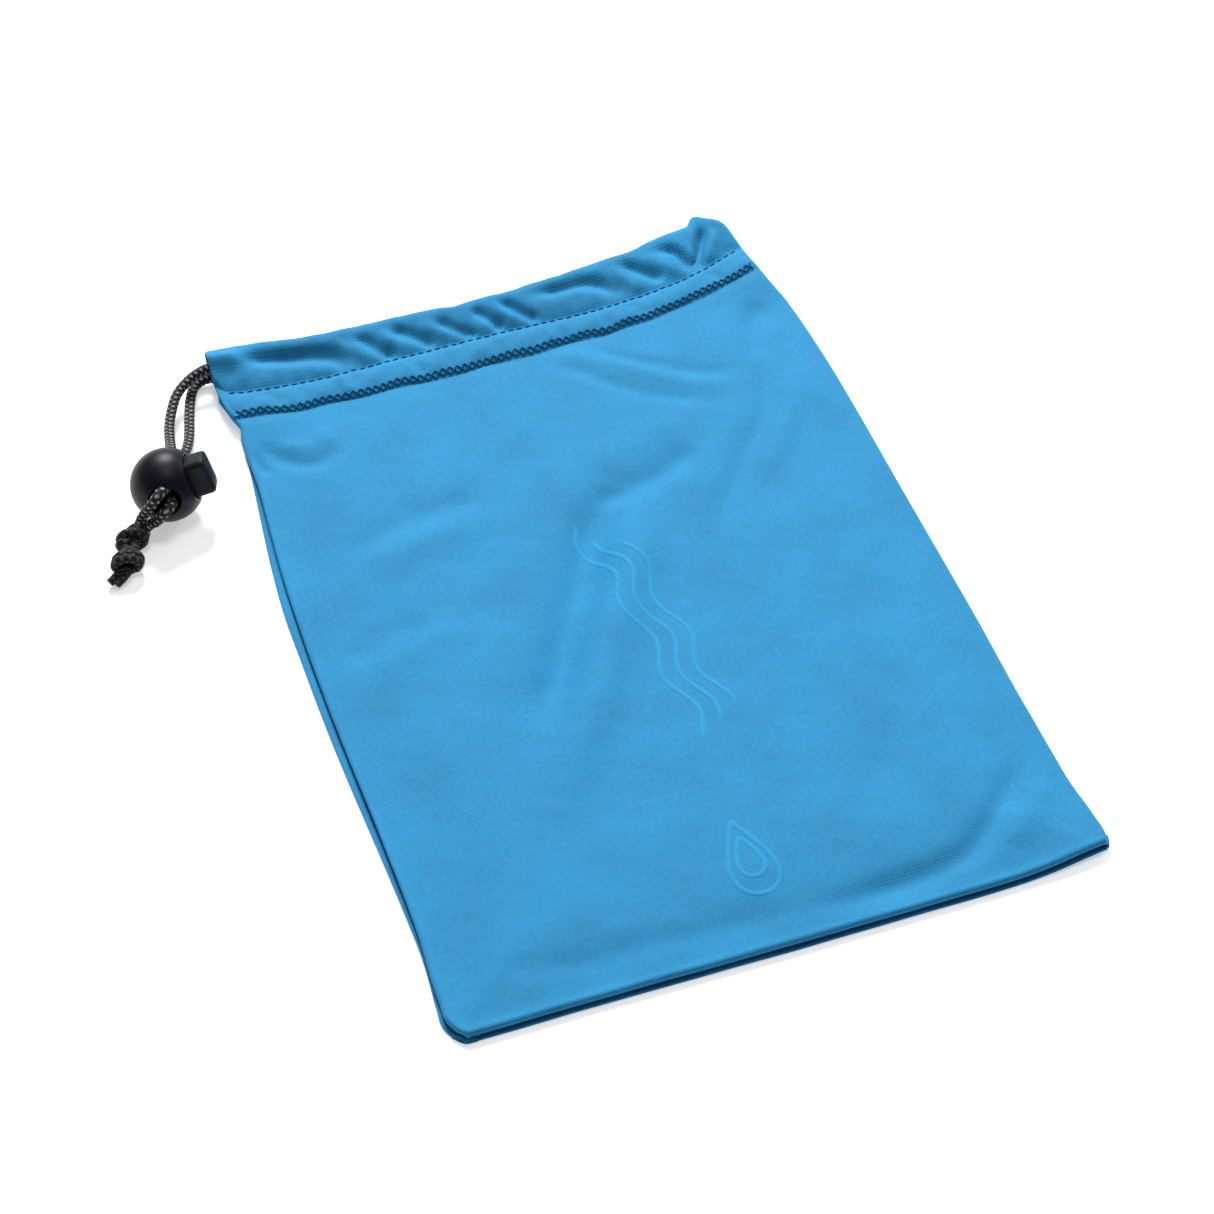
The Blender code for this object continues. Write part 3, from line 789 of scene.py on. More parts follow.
# How far each layer's left edge stands in from the outline: the front one rolls over the back one's hem
FRONT_TUCK = curve_through([(-110, 0.9), (70, 0.9), (84, 0.1), (112, 0.1)])
BACK_TUCK = curve_through([
    (-110, 0.0), (-100, 0.3), (-91, 0.8), (-75, 0.6), (-57, 0.5), (-38, 0.3), (-20, 0.2), (9, 0.2),
    (20, 0.0), (39, 0.2), (49, 0.4), (64, 0.6), (84, 0.9), (112, 0.9),
])
FRONT_BOTTOM_TUCK, BACK_BOTTOM_TUCK = 0.75, 0.4
# Height where both layers meet at the right edge
MIDDLE_HEIGHT = curve_through([
    (-120, 1.25), (40, 1.3), (70, 1.6), (84, 2.1), (94, 2.6), (100, 3.6), (106, 4.1), (115, 4.2),
])


def section_rows(section):
    """Place and height of each hem row, evenly spaced along the section, and the number of the top fold."""
    size = np.array([10.0, 1.0])
    path = smooth_route([(*(p * size), 0.0) for p in np.array(section, float)], 0.2)
    along = distances_along(path)
    stations = np.linspace(0, along[-1], HEM_ROWS)
    places = np.interp(stations, along, path[:, 0]) / size[0]
    return places, np.interp(stations, along, path[:, 1]), int(np.argmax(places))


# Creases: where each runs, how wide it is and how much it rises (+) or sinks (-)
PANEL_CREASES = [
    ([(10, 34), (0, 19), (-11, -1), (-21, -18), (-31, -36)], 5.2, -1.9),
    ([(14, 27), (8, 10), (-4, -8), (-17, -30), (-33, -56)], 6.2, 1.4),
    ([(-69, 76), (-66.5, 71), (-65, 66)], 1.6, -1.3),
    ([(34, 40), (24, 34), (14, 31), (5, 30)], 3.6, -0.9),
    ([(8, 41), (20, 45), (34, 50)], 5.0, 0.45),
    ([(9, 80), (17, 73), (28, 62), (44, 52)], 2.2, -0.42),
    ([(14, 82), (25, 74), (36, 64), (50, 56)], 2.4, 0.3),
    ([(22, 80), (32, 72), (44, 64), (56, 61)], 2.0, -0.35),
    ([(60, 62), (55, 47), (46, 35), (36, 22), (28, 10)], 3.6, -0.75),
    ([(66, 58), (61, 46), (54, 36), (44, 22)], 3.4, 0.6),
    ([(-65, 77), (-59, 68), (-52, 65), (-46, 69)], 2.2, -0.55),
    ([(-60, 74), (-52, 71), (-47, 76)], 2.4, 0.4),
    ([(-57, 31), (-44, 37), (-28, 40), (-18, 38)], 4.0, -0.45),
    ([(-52, 24), (-36, 31), (-18, 32)], 4.5, 0.4),
    ([(-65, 0), (-54, 5), (-44, 6)], 4.0, -0.45),
    ([(-60, -6), (-48, -1), (-36, 1)], 4.0, 0.3),
    ([(67, -77), (57, -88), (47, -97), (39, -100), (26, -101.5), (8, -101.5)], 3.0, -0.95),
    ([(8, -101.5), (-18, -99.5), (-40, -98.5), (-62, -96)], 3.2, -0.35),
    ([(70, -84), (63, -92), (54, -100)], 3.4, 0.5),
    ([(54, -2), (46, -16), (42, -30), (44, -44)], 3.6, -0.35),
    ([(49, -40), (47, -53), (38, -66), (30, -78)], 4.0, -0.3),
    ([(68, 84), (62, 74), (60, 64)], 3.2, -0.6),
    ([(72, 78), (69, 60), (68, 40)], 3.0, 0.35),
]
CHANNEL_CREASES = [
    ([(-61, 102.6), (-55, 101.2), (-48, 99.2), (-41, 97.4), (-35, 93.6)], 2.4, -2.0),
    ([(-33, 100.6), (-30, 97.6), (-28, 95.2), (-24.5, 91.9)], 1.6, -1.2),
    ([(-23.6, 99.9), (-20, 97.4), (-17.2, 95.3), (-14, 92.6)], 1.6, -1.25),
    ([(-12.2, 99.2), (-9.2, 96.5), (-5.2, 93.7), (-3, 92.2)], 1.4, -1.15),
    ([(-2.6, 100.2), (-0.5, 97.6), (1.6, 95.3), (3.4, 92.6)], 1.3, -1.1),
    ([(4.8, 100.8), (8, 97.0), (10.4, 95.0), (13.2, 92.9)], 1.4, -1.15),
    ([(12.5, 101.8), (19, 100.7), (27, 100.6), (32, 98.0), (35, 94.6)], 2.0, -1.6),
    ([(38, 105.4), (40.4, 102), (43.5, 99.6), (47.5, 97.2)], 1.7, -1.5),
    ([(46.5, 106.8), (50.5, 106), (53.4, 103.4), (55.4, 98.2)], 1.6, -1.75),
    ([(62, 110.6), (60.2, 106), (58, 101.6), (56, 97.4)], 1.2, -2.2),
    ([(65.2, 109), (62.6, 104), (60, 99.6)], 1.5, 0.7),
    ([(67, 108), (66.6, 101)], 2.0, -0.45),
    ([(-38, 100.4), (-35.5, 97.4), (-31, 93.4)], 1.5, 0.35),
    ([(-27, 99.4), (-24.4, 96.5), (-21, 93.4)], 1.4, 0.3),
    ([(-15.5, 99.4), (-13, 96.5), (-10, 94)], 1.4, 0.35),
    ([(2.0, 100.6), (4.6, 97), (7.4, 93.8)], 1.3, 0.35),
    ([(34.5, 103.4), (37, 99), (40.6, 95)], 1.5, 0.45),
    ([(44.6, 104.6), (47.6, 101.6), (51.4, 98)], 1.6, 0.5),
]
BAND_CREASES = [
    ([(-58, 92), (-55, 86)], 1.6, -0.35), ([(-40, 91), (-38, 85)], 1.6, 0.25),
    ([(-22, 91), (-19, 85)], 1.4, -0.25), ([(12, 91), (14, 86)], 1.5, 0.25),
    ([(36, 92), (40, 87)], 1.5, -0.25), ([(58, 97), (62, 93)], 1.6, -0.5),
]


# Share of a crease over which it fades in and out, how deep it starts, and a crease's width in its bell
CREASE_FADE, CREASE_START, CREASE_BELL = 0.3, 0.25, 0.6
RIPPLE_WAVES = 9


def creased(x, y, creases):
    """Height that the creases add at each point."""
    height = np.zeros(np.broadcast(x, y).shape)
    for points, width, rise in creases:
        line = smooth_route([(*p, 0.0) for p in points], 1.0)[:, :2]
        best = np.full(height.shape, np.inf)
        where = np.zeros(height.shape)
        for k in range(len(line) - 1):
            (ax, ay), (bx, by) = line[k], line[k + 1]
            dx, dy = bx - ax, by - ay
            t = np.clip(((x - ax) * dx + (y - ay) * dy) / (dx * dx + dy * dy), 0, 1)
            away = (x - ax - t * dx) ** 2 + (y - ay - t * dy) ** 2
            closer = away < best
            best = np.where(closer, away, best)
            where = np.where(closer, (k + t) / (len(line) - 1), where)
        fade = smoothstep(np.minimum(where, 1 - where) / CREASE_FADE + CREASE_START)
        height += rise * fade * np.exp(-best / (2 * (width * CREASE_SPREAD * CREASE_BELL) ** 2))
    return height


def ripple(x, y, length, seed):
    """Soft random waves about length apart, from a fixed seed, between -1 and 1."""
    rng = np.random.default_rng(seed)
    total = np.zeros(np.broadcast(x, y).shape)
    for _ in range(RIPPLE_WAVES):
        angle = rng.uniform(0, math.pi)
        wave = 2 * math.pi / (length * rng.uniform(0.7, 1.5))
        phase = rng.uniform(0, 2 * math.pi)
        total += np.sin(wave * (x * math.cos(angle) + y * math.sin(angle)) + phase)
    return total / (RIPPLE_WAVES / 2)


# The sheets

EDGE_STEPS = np.array([0, 0.05, 0.18, 0.4, 0.7, 1.1, 1.7, 2.6, 3.8, 5.2])
# Points of the edge that are used again, further down, for its tucked part
TUCK_STEPS = [7, 5, 3]
TUCKS = len(TUCK_STEPS)
ACROSS_MIDDLE, ALONG_MIDDLE = 140, 180
# How far the hem's inner ply stands in from the right edge
RIGHT_TUCK = 3.2


def inset_stations(width, middle, both=True):
    """Distances from the first edge: close together at the edge, even in between."""
    last = EDGE_STEPS[-1]
    inner = np.linspace(0, 1, middle + 2)[1:-1]
    if both:
        return np.concatenate([EDGE_STEPS, last + inner * (width - 2 * last), width - EDGE_STEPS[::-1]])
    return np.concatenate([EDGE_STEPS, last + inner * (width - last)])


def sheet_plan(left_tuck, bottom_tuck, places, fold):
    """x and y of every point of a sheet before its edges are rolled, and the number of the first hem row.

    Rows run from the bottom up to the overlocked edge and then along the hem's section."""
    height = EDGE_ROW(0.0) - BOTTOM
    share = inset_stations(height, ALONG_MIDDLE, both=False) / height
    share = share[share < 1]
    hem_row = len(share)
    xs, ys = [], []
    for number, value in enumerate([*share, *places]):
        def y_at(x):
            if number < hem_row:
                low = bottom_edge(x) + bottom_tuck
                return low + (EDGE_ROW(x) - low) * value
            return mouth_row(x, value)

        left_y, right_y = y_at(-70.0), y_at(70.0)
        for _ in range(3):
            left = left_edge(left_y) + left_tuck(left_y)
            right = right_edge(right_y)
            left_y, right_y = y_at(left), y_at(right)
        right = right - RIGHT_TUCK * smoothstep((number - hem_row - fold) / 6)
        x = left + inset_stations(right - left, ACROSS_MIDDLE)
        xs.append(x)
        ys.append(y_at(x))
    return np.array(xs), np.array(ys), hem_row


# Distance from the outline beyond which a point counts as far
EDGE_REACH = 8


def edge_distance(x, y, hem_row):
    """Distance of every point from the left side and the bottom of the sheet's outline."""
    outline = [(x[j, 0], y[j, 0]) for j in range(hem_row + HEM_ROWS // 2)][::-1]
    outline += [(x[0, i], y[0, i]) for i in range(1, x.shape[1])]
    best = np.full(x.shape, 1e9)
    near = np.minimum(x - x[:, :1], y - y[:1, :]) < EDGE_REACH
    px, py = x[near], y[near]
    close = np.full(px.shape, 1e9)
    for (ax, ay), (bx, by) in zip(outline, outline[1:]):
        dx, dy = bx - ax, by - ay
        t = np.clip(((px - ax) * dx + (py - ay) * dy) / max(dx * dx + dy * dy, 1e-9), 0, 1)
        close = np.minimum(close, np.hypot(px - ax - t * dx, py - ay - t * dy))
    best[near] = close
    return best


def grid_normals(points):
    """Unit normals of a grid of points, rows along Y and columns along X."""
    along = np.gradient(points, axis=0)
    across = np.gradient(points, axis=1)
    return unit(np.cross(across, along))


def circle_drop(distance, radius):
    """How far a rolled edge of that radius has dropped at a distance from its outermost line."""
    inside = np.clip(1 - distance / radius, 0, 1)
    return radius * (1 - np.sqrt(1 - inside**2))


def rolled(points, distance, radius, depths):
    """The sheet with its left and bottom edges rolled over and tucked in between the layers.

    Also gives the rows and columns of the plan that the new sheet's points come from."""
    normal = grid_normals(points)
    top = points - normal * circle_drop(distance, radius)[..., None]
    rows, columns = [TUCK_STEPS + list(range(count)) for count in points.shape[:2]]
    grid = np.ix_(rows, columns)
    row_depth, column_depth = [np.array([*depths, *[0.0] * count]) for count in points.shape[:2]]
    depth = np.maximum(row_depth[:, None], column_depth[None, :])
    tucked = points[grid] - normal[grid] * (radius[grid] + depth)[..., None]
    return np.where((depth > 0)[..., None], tucked, top[grid]), grid


def cloth_uv(x, y, grid):
    """Cloth coordinates in millimetres, measured along the rows and columns of the plan."""
    steps = np.hypot(np.diff(x, axis=0), np.diff(y, axis=0))
    travelled = np.concatenate([np.zeros((1, x.shape[1])), np.cumsum(steps, axis=0)])
    u = x[grid]
    v = travelled.mean(axis=1)[grid[0]]
    return np.stack([u, np.broadcast_to(v, u.shape)], axis=2)


def shell(name, outer, normal, uv, mat, flip=False):
    """A closed sheet of cloth: the outer grid, the same grid one thickness inside, and its edges."""
    rows, columns = outer.shape[:2]
    inner = outer - normal * CLOTH
    vertices = np.concatenate([outer.reshape(-1, 3), inner.reshape(-1, 3)]) * MM
    index = np.arange(rows * columns).reshape(rows, columns)
    corners = [index[:-1, :-1], index[:-1, 1:], index[1:, 1:], index[1:, :-1]]
    quads = np.stack(corners, axis=2).reshape(-1, 4)
    if flip:
        quads = quads[:, ::-1]
    offset = rows * columns
    rim = list(index[0, :]) + list(index[1:, -1]) + list(index[-1, -2::-1]) + list(index[-2:0:-1, 0])
    edge = []
    for a, b in zip(rim, rim[1:] + rim[:1]):
        edge.append((a, b, b + offset, a + offset)[::(1 if flip else -1)])
    faces = np.concatenate([quads, quads[:, ::-1] + offset, np.array(edge)])
    mesh = bpy.data.meshes.new(name)
    mesh.from_pydata(vertices.tolist(), [], faces.tolist())
    flat_uv = np.concatenate([uv.reshape(-1, 2)] * 2)
    loops = faces.reshape(-1)
    mesh.uv_layers.new(name="cloth").data.foreach_set("uv", flat_uv[loops].astype(np.float32).ravel())
    mesh.shade_smooth()
    flat_normal = np.concatenate([normal.reshape(-1, 3), -normal.reshape(-1, 3)])
    loop_normals = flat_normal[loops]
    edge_loops = 4 * len(quads) * 2
    corners = vertices[np.array(edge)]
    face_normals = unit(np.cross(corners[:, 1] - corners[:, 0], corners[:, 3] - corners[:, 0]))
    loop_normals[edge_loops:] = np.repeat(face_normals, 4, axis=0)
    mesh.normals_split_custom_set(loop_normals.tolist())
    return link(name, mesh, mat)


# Height of the front layer at its edges, how much higher its middle stands and how far in that is
SIDE_HEIGHT, LOFT, LOFT_REACH = 2.55, 1.75, 26
# The hem's edge: its height, how far below it the panel rises to it, and the groove that its sewing presses
HEM_HEIGHT, HEM_APPROACH = 4.05, 16
GROOVE_DEPTH, GROOVE_WIDTH = 0.22, 1.6
# The bead beside the sewn edges
EDGE_BEAD, BEAD_PLACE, BEAD_WIDTH = 0.3, 1.9, 0.8
# How far from the edges the creases and ripples start, and each ripple's height, length and seed
CALM_REACH = 7
PANEL_RIPPLES = [(0.16, 26, 3), (0.05, 9, 5)]


def corner_lift(x, y):
    """How far the bottom right corner stands up off the surface, from 0 to 1."""
    return smoothstep((x - 50) / 24) * smoothstep((-80 - y) / 28)


def front_surface(x, y):
    """Height of the front layer's outer face at any point, before its edges are rolled."""
    from_side = np.minimum(x - left_edge(y), right_edge(y) - x)
    from_edges = np.minimum(from_side, y - BOTTOM)
    past_hem = y - EDGE_ROW(x)
    to_hem = smoothstep((past_hem + HEM_APPROACH) / HEM_APPROACH)
    panel = SIDE_HEIGHT + LOFT * smoothstep(from_edges / LOFT_REACH)
    panel = panel * (1 - to_hem) + HEM_HEIGHT * to_hem
    panel = panel - GROOVE_DEPTH * np.exp(-((past_hem / GROOVE_WIDTH) ** 2))
    folds = CREASE_DEPTH * creased(x, y, PANEL_CREASES)
    for depth, length, seed in PANEL_RIPPLES:
        folds = folds + depth * ripple(x, y, length, seed)
    panel = panel + smoothstep(from_edges / CALM_REACH) * folds
    to_edge = np.minimum(x - left_edge(y), y - bottom_edge(x))
    panel = panel + EDGE_BEAD * np.exp(-(((to_edge - BEAD_PLACE) / BEAD_WIDTH) ** 2)) * (1 - to_hem)
    return panel + corner_lift(x, y)


# Share of a crease's depth where the cord fills the fold
CREASE_ON_CORD = 0.25
CREASE_DEPTH, GATHER_DEPTH, CREASE_SPREAD = 1.3, 1.0, 1.2
# Where the cord leaves the hem, and how far it pushes the cloth out there
EXIT_PLACE, EXIT_BULGE = 1.64, 1.9
# How much higher the hem stands in the middle of the mouth
HEM_ARCH = 0.8
HEM_RIPPLE = 0.12
# Radius of the rolled edges, and how far each point of their tucked part lies under the roll
PANEL_ROLL, HEM_ROLL, INNER_ROLL = 0.8, 2.2, 0.6
BACK_ROLL, BACK_BOTTOM_ROLL = 0.5, 0.26
FRONT_TUCK_DEPTHS, BACK_TUCK_DEPTHS = (0.12, 0.2, 0.18), (0.08, 0.14, 0.12)
# Back layer: its height, its ripples, and how far it rises to its hem and its corner
BACK_HEIGHT, BACK_RIPPLE = 0.12, 0.08
BACK_TO_HEM, BACK_CORNER = 0.35, 0.9
BACK_LOWEST = 0.03


def column(values):
    """Values for the hem's rows, to spread over their points."""
    return values[:, None]


def add_front(mat):
    """The front layer and its hem as one sheet, cut into a left and a right half."""
    places, heights, fold = section_rows(FRONT_SECTION)
    x, y, hem_row = sheet_plan(FRONT_TUCK, FRONT_BOTTOM_TUCK, places, fold)
    z = np.empty_like(x)
    z[:hem_row] = front_surface(x[:hem_row], y[:hem_row])
    hx, hy = x[hem_row:], y[hem_row:]
    on_top = column(np.arange(HEM_ROWS) <= fold)
    hem = np.repeat(column(heights), x.shape[1], axis=1)
    hem += (front_surface(hx[:1], hy[:1]) - heights[0]) * column(np.clip(1 - places / 0.5, 0, 1)) * on_top
    open_part = smoothstep((places - 1.0) / 0.12) * smoothstep((2.0 - places) / 0.1)
    open_part = open_part * (1 - (1 - CREASE_ON_CORD) * smoothstep((places - 1.6) / 0.2))
    gather = GATHER_DEPTH * creased(hx, hy, CHANNEL_CREASES) * column(open_part)
    at_exit = column(np.exp(-(((places - EXIT_PLACE) / 0.17) ** 2))) * smoothstep((-57 - hx) / 8)
    gather += EXIT_BULGE * at_exit
    band_part = smoothstep(places / 0.15) * smoothstep((1.0 - places) / 0.15)
    gather += creased(hx, hy, BAND_CREASES) * column(band_part)
    gather += HEM_RIPPLE * ripple(hx, hy, 5, 11) * column(smoothstep(places / 0.2))
    hem += np.where(on_top, gather, HEM_RIPPLE * ripple(hx, hy, 6, 12))
    middle = (HEM_LOW.x + HEM_HIGH.x) / 2
    from_middle = np.clip((hx - middle) / (HEM_HIGH.x - HEM_LOW.x), -0.5, 0.5)
    hem += HEM_ARCH * np.cos(from_middle * math.pi) * column(smoothstep(places))
    z[hem_row:] = hem
    radius = np.full(x.shape, PANEL_ROLL)
    rolling = smoothstep((places + 0.1) / 0.4) * smoothstep((1.35 - places) / 0.3)
    outer_roll = INNER_ROLL + (HEM_ROLL - INNER_ROLL) * rolling
    radius[hem_row:] = np.where(on_top, column(outer_roll), INNER_ROLL)
    near_hem = smoothstep((y[:hem_row] - EDGE_ROW(x[:hem_row]) + 9) / 9)
    radius[:hem_row] += (outer_roll[0] - PANEL_ROLL) * near_hem
    points = np.stack([x, y, z], axis=2)
    out, grid = rolled(points, edge_distance(x, y, hem_row), radius, FRONT_TUCK_DEPTHS)
    out = right_fold(out, x, y, grid)
    uv = cloth_uv(x, y, grid)
    normal = level_right_normals(grid_normals(out))
    cut = out.shape[1] // 2
    halves = []
    for name, side, part in (("left", -1, slice(0, cut + 1)), ("right", 1, slice(cut, None))):
        half = shell("front_cloth_" + name, out[:, part], normal[:, part], uv[:, part], mat)
        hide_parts("front_panel", "front_hem")
        split_blend(half)
        halves.append(half)
    return halves, Surface(out, normal, hem_row, places, fold)


def right_fold(out, x, y, grid):
    """Brings the right edge round to the middle height, where the other layer meets it."""
    inset = x[grid][:, -1:] - x[grid]
    middle = MIDDLE_HEIGHT(y[grid][:, -1:])
    inside = np.clip(1 - inset / middle, 0, 1)
    out = out.copy()
    out[..., 2] = middle + (out[..., 2] - middle) * np.sqrt(1 - inside**2)
    return out


def level_right_normals(normal):
    normal = normal.copy()
    normal[:, -1, 2] = 0.0
    return unit(normal)


def split_blend(obj):
    """Bakes the piece's placement into its mesh."""
    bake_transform(obj)


class Surface:
    """A finished sheet, to find points on the outer ply of its hem."""

    def __init__(self, out, normal, hem_row, places, fold):
        rows = slice(hem_row + TUCKS, hem_row + TUCKS + fold + 1)
        self.places = places[: fold + 1]
        self.points = out[rows, TUCKS:]
        self.normals = normal[rows, TUCKS:]

    def at(self, x, place):
        """Point and normal at x on the row at that place."""
        row = np.interp(place, self.places, np.arange(len(self.places)))
        j = int(min(row, len(self.places) - 2))
        share = row - j
        result = []
        for grid in (self.points, self.normals):
            near = np.array([np.interp(x, self.points[j, :, 0], grid[j, :, k]) for k in range(3)])
            far = np.array([np.interp(x, self.points[j + 1, :, 0], grid[j + 1, :, k]) for k in range(3)])
            result.append(near * (1 - share) + far * share)
        return result[0], unit(result[1])


THREAD_RADIUS, THREAD_SIDES = 0.17, 6
STITCH, STITCH_GAP = 1.65, 0.5
# How far a stitch dips into the cloth at its ends and how high its middle arches over them
STITCH_DIP, STITCH_ARCH = 0.22, 0.34
ZIGZAG_PITCH, ZIGZAG_REACH = 1.9, 0.2
# How far the overlock wanders off the edge, in the seed's own slow waves
WANDER, WANDER_LENGTH, WANDER_SEED = 0.045, 12, 31
ZIGZAG_STEPS = (35, 37)


def stitches(name, surface, place, low, high, mat):
    """A row of separate lockstitches that dip into the cloth at both ends."""
    parts = []
    for start in np.arange(low, high - STITCH, STITCH + STITCH_GAP):
        path = []
        for share in np.linspace(0, 1, 7):
            point, normal = surface.at(start + share * STITCH, place)
            path.append(point + normal * (STITCH_ARCH * math.sin(math.pi * share) ** 0.6 - STITCH_DIP))
        parts.append(tube("stitch", path, THREAD_RADIUS, mat, THREAD_SIDES))
    return joined(name, parts)


def zigzag(name, surface, low, high, mat):
    """The overlock at the hem's lower edge: two threads that cross from side to side."""
    parts = []
    count = int((high - low) / ZIGZAG_PITCH)
    for lead in (0, 1):
        path = []
        for step in range(count * 4 + 1):
            swing = (step / 4 + lead) % 2
            across = swing if swing <= 1 else 2 - swing
            x = low + step / 4 * ZIGZAG_PITCH
            wander = WANDER * (1 + ripple(x, 0.0, WANDER_LENGTH, WANDER_SEED))
            point, normal = surface.at(x, ZIGZAG_REACH * across + wander)
            path.append(point + normal * (0.1 + 0.12 * math.sin(math.pi * across)))
        parts.append(tube("zigzag_part", path, THREAD_RADIUS, mat, THREAD_SIDES))
    return joined(name, parts)


def add_front_sewing(surface, mat, fine_mat):
    """Lockstitch under the channel and overlock at the hem's edge, each in two halves."""
    pieces = {"left": [], "right": []}
    ends = {-1: (-ZIGZAG_STEPS[0] * ZIGZAG_PITCH, 0.0), 1: (0.0, ZIGZAG_STEPS[1] * ZIGZAG_PITCH)}
    for side, word in ((-1, "left"), (1, "right")):
        low, high = ends[side]
        row = stitches("channel_stitches_" + word, surface, 1.0, low, high, fine_mat)
        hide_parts("front_channel_stitch")
        edge = zigzag("hem_overlock_" + word, surface, low, high, mat)
        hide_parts("front_hem_overlock")
        for piece in (row, edge):
            split_blend(piece)
            pieces[word].append(piece)
    return pieces


CHANNEL_PLACE = 1.84
# Radius of the cord where the fold presses on it, and how far its middle lies under the outer face
PRESSED = 1.14
CORD_UNDER = PRESSED + CLOTH + 0.1
CORD_START = -67.0
CORD_TURN_X, CORD_TURN_OUT = 60.5, 67.3
CORD_TURN = [(63.4, 1.72), (65.9, 1.55)]
HEM_CORD_SIDES = 12


def hem_cord_path(surface, low, high):
    """Centreline of the cord where it lies inside the hem's fold, just under its outer face."""
    path = []
    for x in np.linspace(low, high, 90):
        leaving = smoothstep((-54 - x) / 12)
        point, normal = surface.at(x, CHANNEL_PLACE + (EXIT_PLACE - CHANNEL_PLACE) * leaving)
        path.append(point - normal * CORD_UNDER)
    weights = np.array([1.0, 2.0, 3.0, 2.0, 1.0])
    padded = np.pad(np.array(path), ((2, 2), (0, 0)), mode="edge")
    smooth = [np.convolve(padded[:, k], weights / weights.sum(), mode="valid") for k in range(3)]
    return np.stack(smooth, axis=1)


def hem_cord(name, path, mat, node):
    cord = tube(name, path, PRESSED, mat, HEM_CORD_SIDES)
    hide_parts(node)
    return cord


def add_hem_cord(front, back, mat):
    """The cord inside both hems: it arches up with the mouth in front and lies flat behind."""
    left = hem_cord_path(front, CORD_START, 0.0)
    right = hem_cord_path(front, 0.0, CORD_TURN_X)
    behind = hem_cord_path(back, CORD_START, CORD_TURN_X)
    split_blend(hem_cord("drawcord_front_hem_left", left, mat, "drawcord_in_front_hem"))
    split_blend(hem_cord("drawcord_front_hem_right", right, mat, "drawcord_in_front_hem"))
    ways = []
    for surface in (front, back):
        places = [surface.at(x, place) for x, place in CORD_TURN]
        ways.append([point - normal * CORD_UNDER for point, normal in places])
    outermost = (ways[0][-1] + ways[1][-1]) / 2 * (0, 1, 1) + (CORD_TURN_OUT, 0, 0)
    turn = smooth_route([right[-1]] + ways[0] + [outermost] + ways[1][::-1] + [behind[-1]], 0.3)
    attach(hem_cord("drawcord_back_hem", behind, mat, "drawcord_in_back_hem"), POUCH)
    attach(hem_cord("drawcord_mouth_turn", turn, mat, "drawcord_mouth_bend"), POUCH)


def add_back(mat):
    """The back layer and its hem as one sheet that lies on the surface."""
    places, heights, fold = section_rows(BACK_SECTION)
    x, y, hem_row = sheet_plan(BACK_TUCK, BACK_BOTTOM_TUCK, places, fold)
    z = np.empty_like(x)
    px, py = x[:hem_row], y[:hem_row]
    lying = BACK_HEIGHT + BACK_RIPPLE * ripple(px, py, 22, 21)
    rising = BACK_TO_HEM * smoothstep((py - EDGE_ROW(px) + 6) / 6)
    z[:hem_row] = lying + BACK_CORNER * corner_lift(px, py) + rising
    hx, hy = x[hem_row:], y[hem_row:]
    hem = np.repeat(column(heights), x.shape[1], axis=1)
    on_outside = column(np.arange(HEM_ROWS) <= fold)
    hem += np.where(on_outside, 0.05 + 0.05 * ripple(hx, hy, 7, 22), 0.15 * ripple(hx, hy, 6, 23))
    start = BACK_HEIGHT + BACK_TO_HEM + BACK_RIPPLE * ripple(hx[:1], hy[:1], 22, 21)
    hem += (start - hem[:1]) * (column(np.clip(1 - places / 0.3, 0, 1)) * on_outside)
    z[hem_row:] = np.maximum(hem, BACK_LOWEST)
    radius = BACK_BOTTOM_ROLL + (BACK_ROLL - BACK_BOTTOM_ROLL) * smoothstep((y - BOTTOM - 3) / 9)
    # Rolled upside down, since its edges curl up
    mirrored = np.stack([x, y, -z], axis=2)
    out, grid = rolled(mirrored, edge_distance(x, y, hem_row), radius, BACK_TUCK_DEPTHS)
    out = right_fold(out * (1, 1, -1), x, y, grid)
    normal = level_right_normals(-grid_normals(out))
    back = shell("back_cloth", out, normal, cloth_uv(x, y, grid), mat, flip=True)
    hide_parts("back_panel", "back_hem", "mouth_fold")
    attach(back, POUCH)
    return back, Surface(out, normal, hem_row, places, fold)


def add_back_sewing(surface, mat):
    row = stitches("back_channel_stitches", surface, 1.0, -66.5, 66.5, mat)
    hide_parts("back_channel_stitch")
    edge = zigzag("back_overlock", surface, -65.5, 66.5, mat)
    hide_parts("back_hem_overlock")
    for piece in (row, edge):
        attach(piece, POUCH)
    return [row, edge]


# Generic raised marks where the photographed one has its print: three waves over a drop

WAVE_COLUMNS = (3.5, 7.7, 11.9)
WAVE_LOW, WAVE_HIGH = -50.0, 25.0
WAVE_SWING, WAVE_LENGTH, WAVE_SLANT = 1.7, 23.0, 0.08
WAVE_TAPER, DROP_TAPER = 2.5, 0.6
MARK_WIDTH, MARK_HEIGHT, MARK_SIDES = 1.2, 0.1, 12
DROP_CENTRE = (-1.0, -84.0)
DROP_SIZE = (7.5, 10.5)


def raised_line(x, y, taper, mat):
    """A low ridge of print that lies on the front layer's face and narrows towards both ends."""
    path = np.stack([x, y, np.zeros_like(x)], axis=1)
    along = distances_along(path)
    half = MARK_WIDTH / 2
    width = half * np.clip(np.minimum(along, along[-1] - along) / taper, 0.08, 1)
    line = tube("raised_line", path, width, mat, MARK_SIDES, flat=MARK_HEIGHT / half)
    points = np.empty(3 * len(line.data.vertices))
    line.data.vertices.foreach_get("co", points)
    points = points.reshape(-1, 3)
    points[:, 2] += front_surface(points[:, 0] / MM, points[:, 1] / MM) * MM
    line.data.vertices.foreach_set("co", points.ravel())
    return line


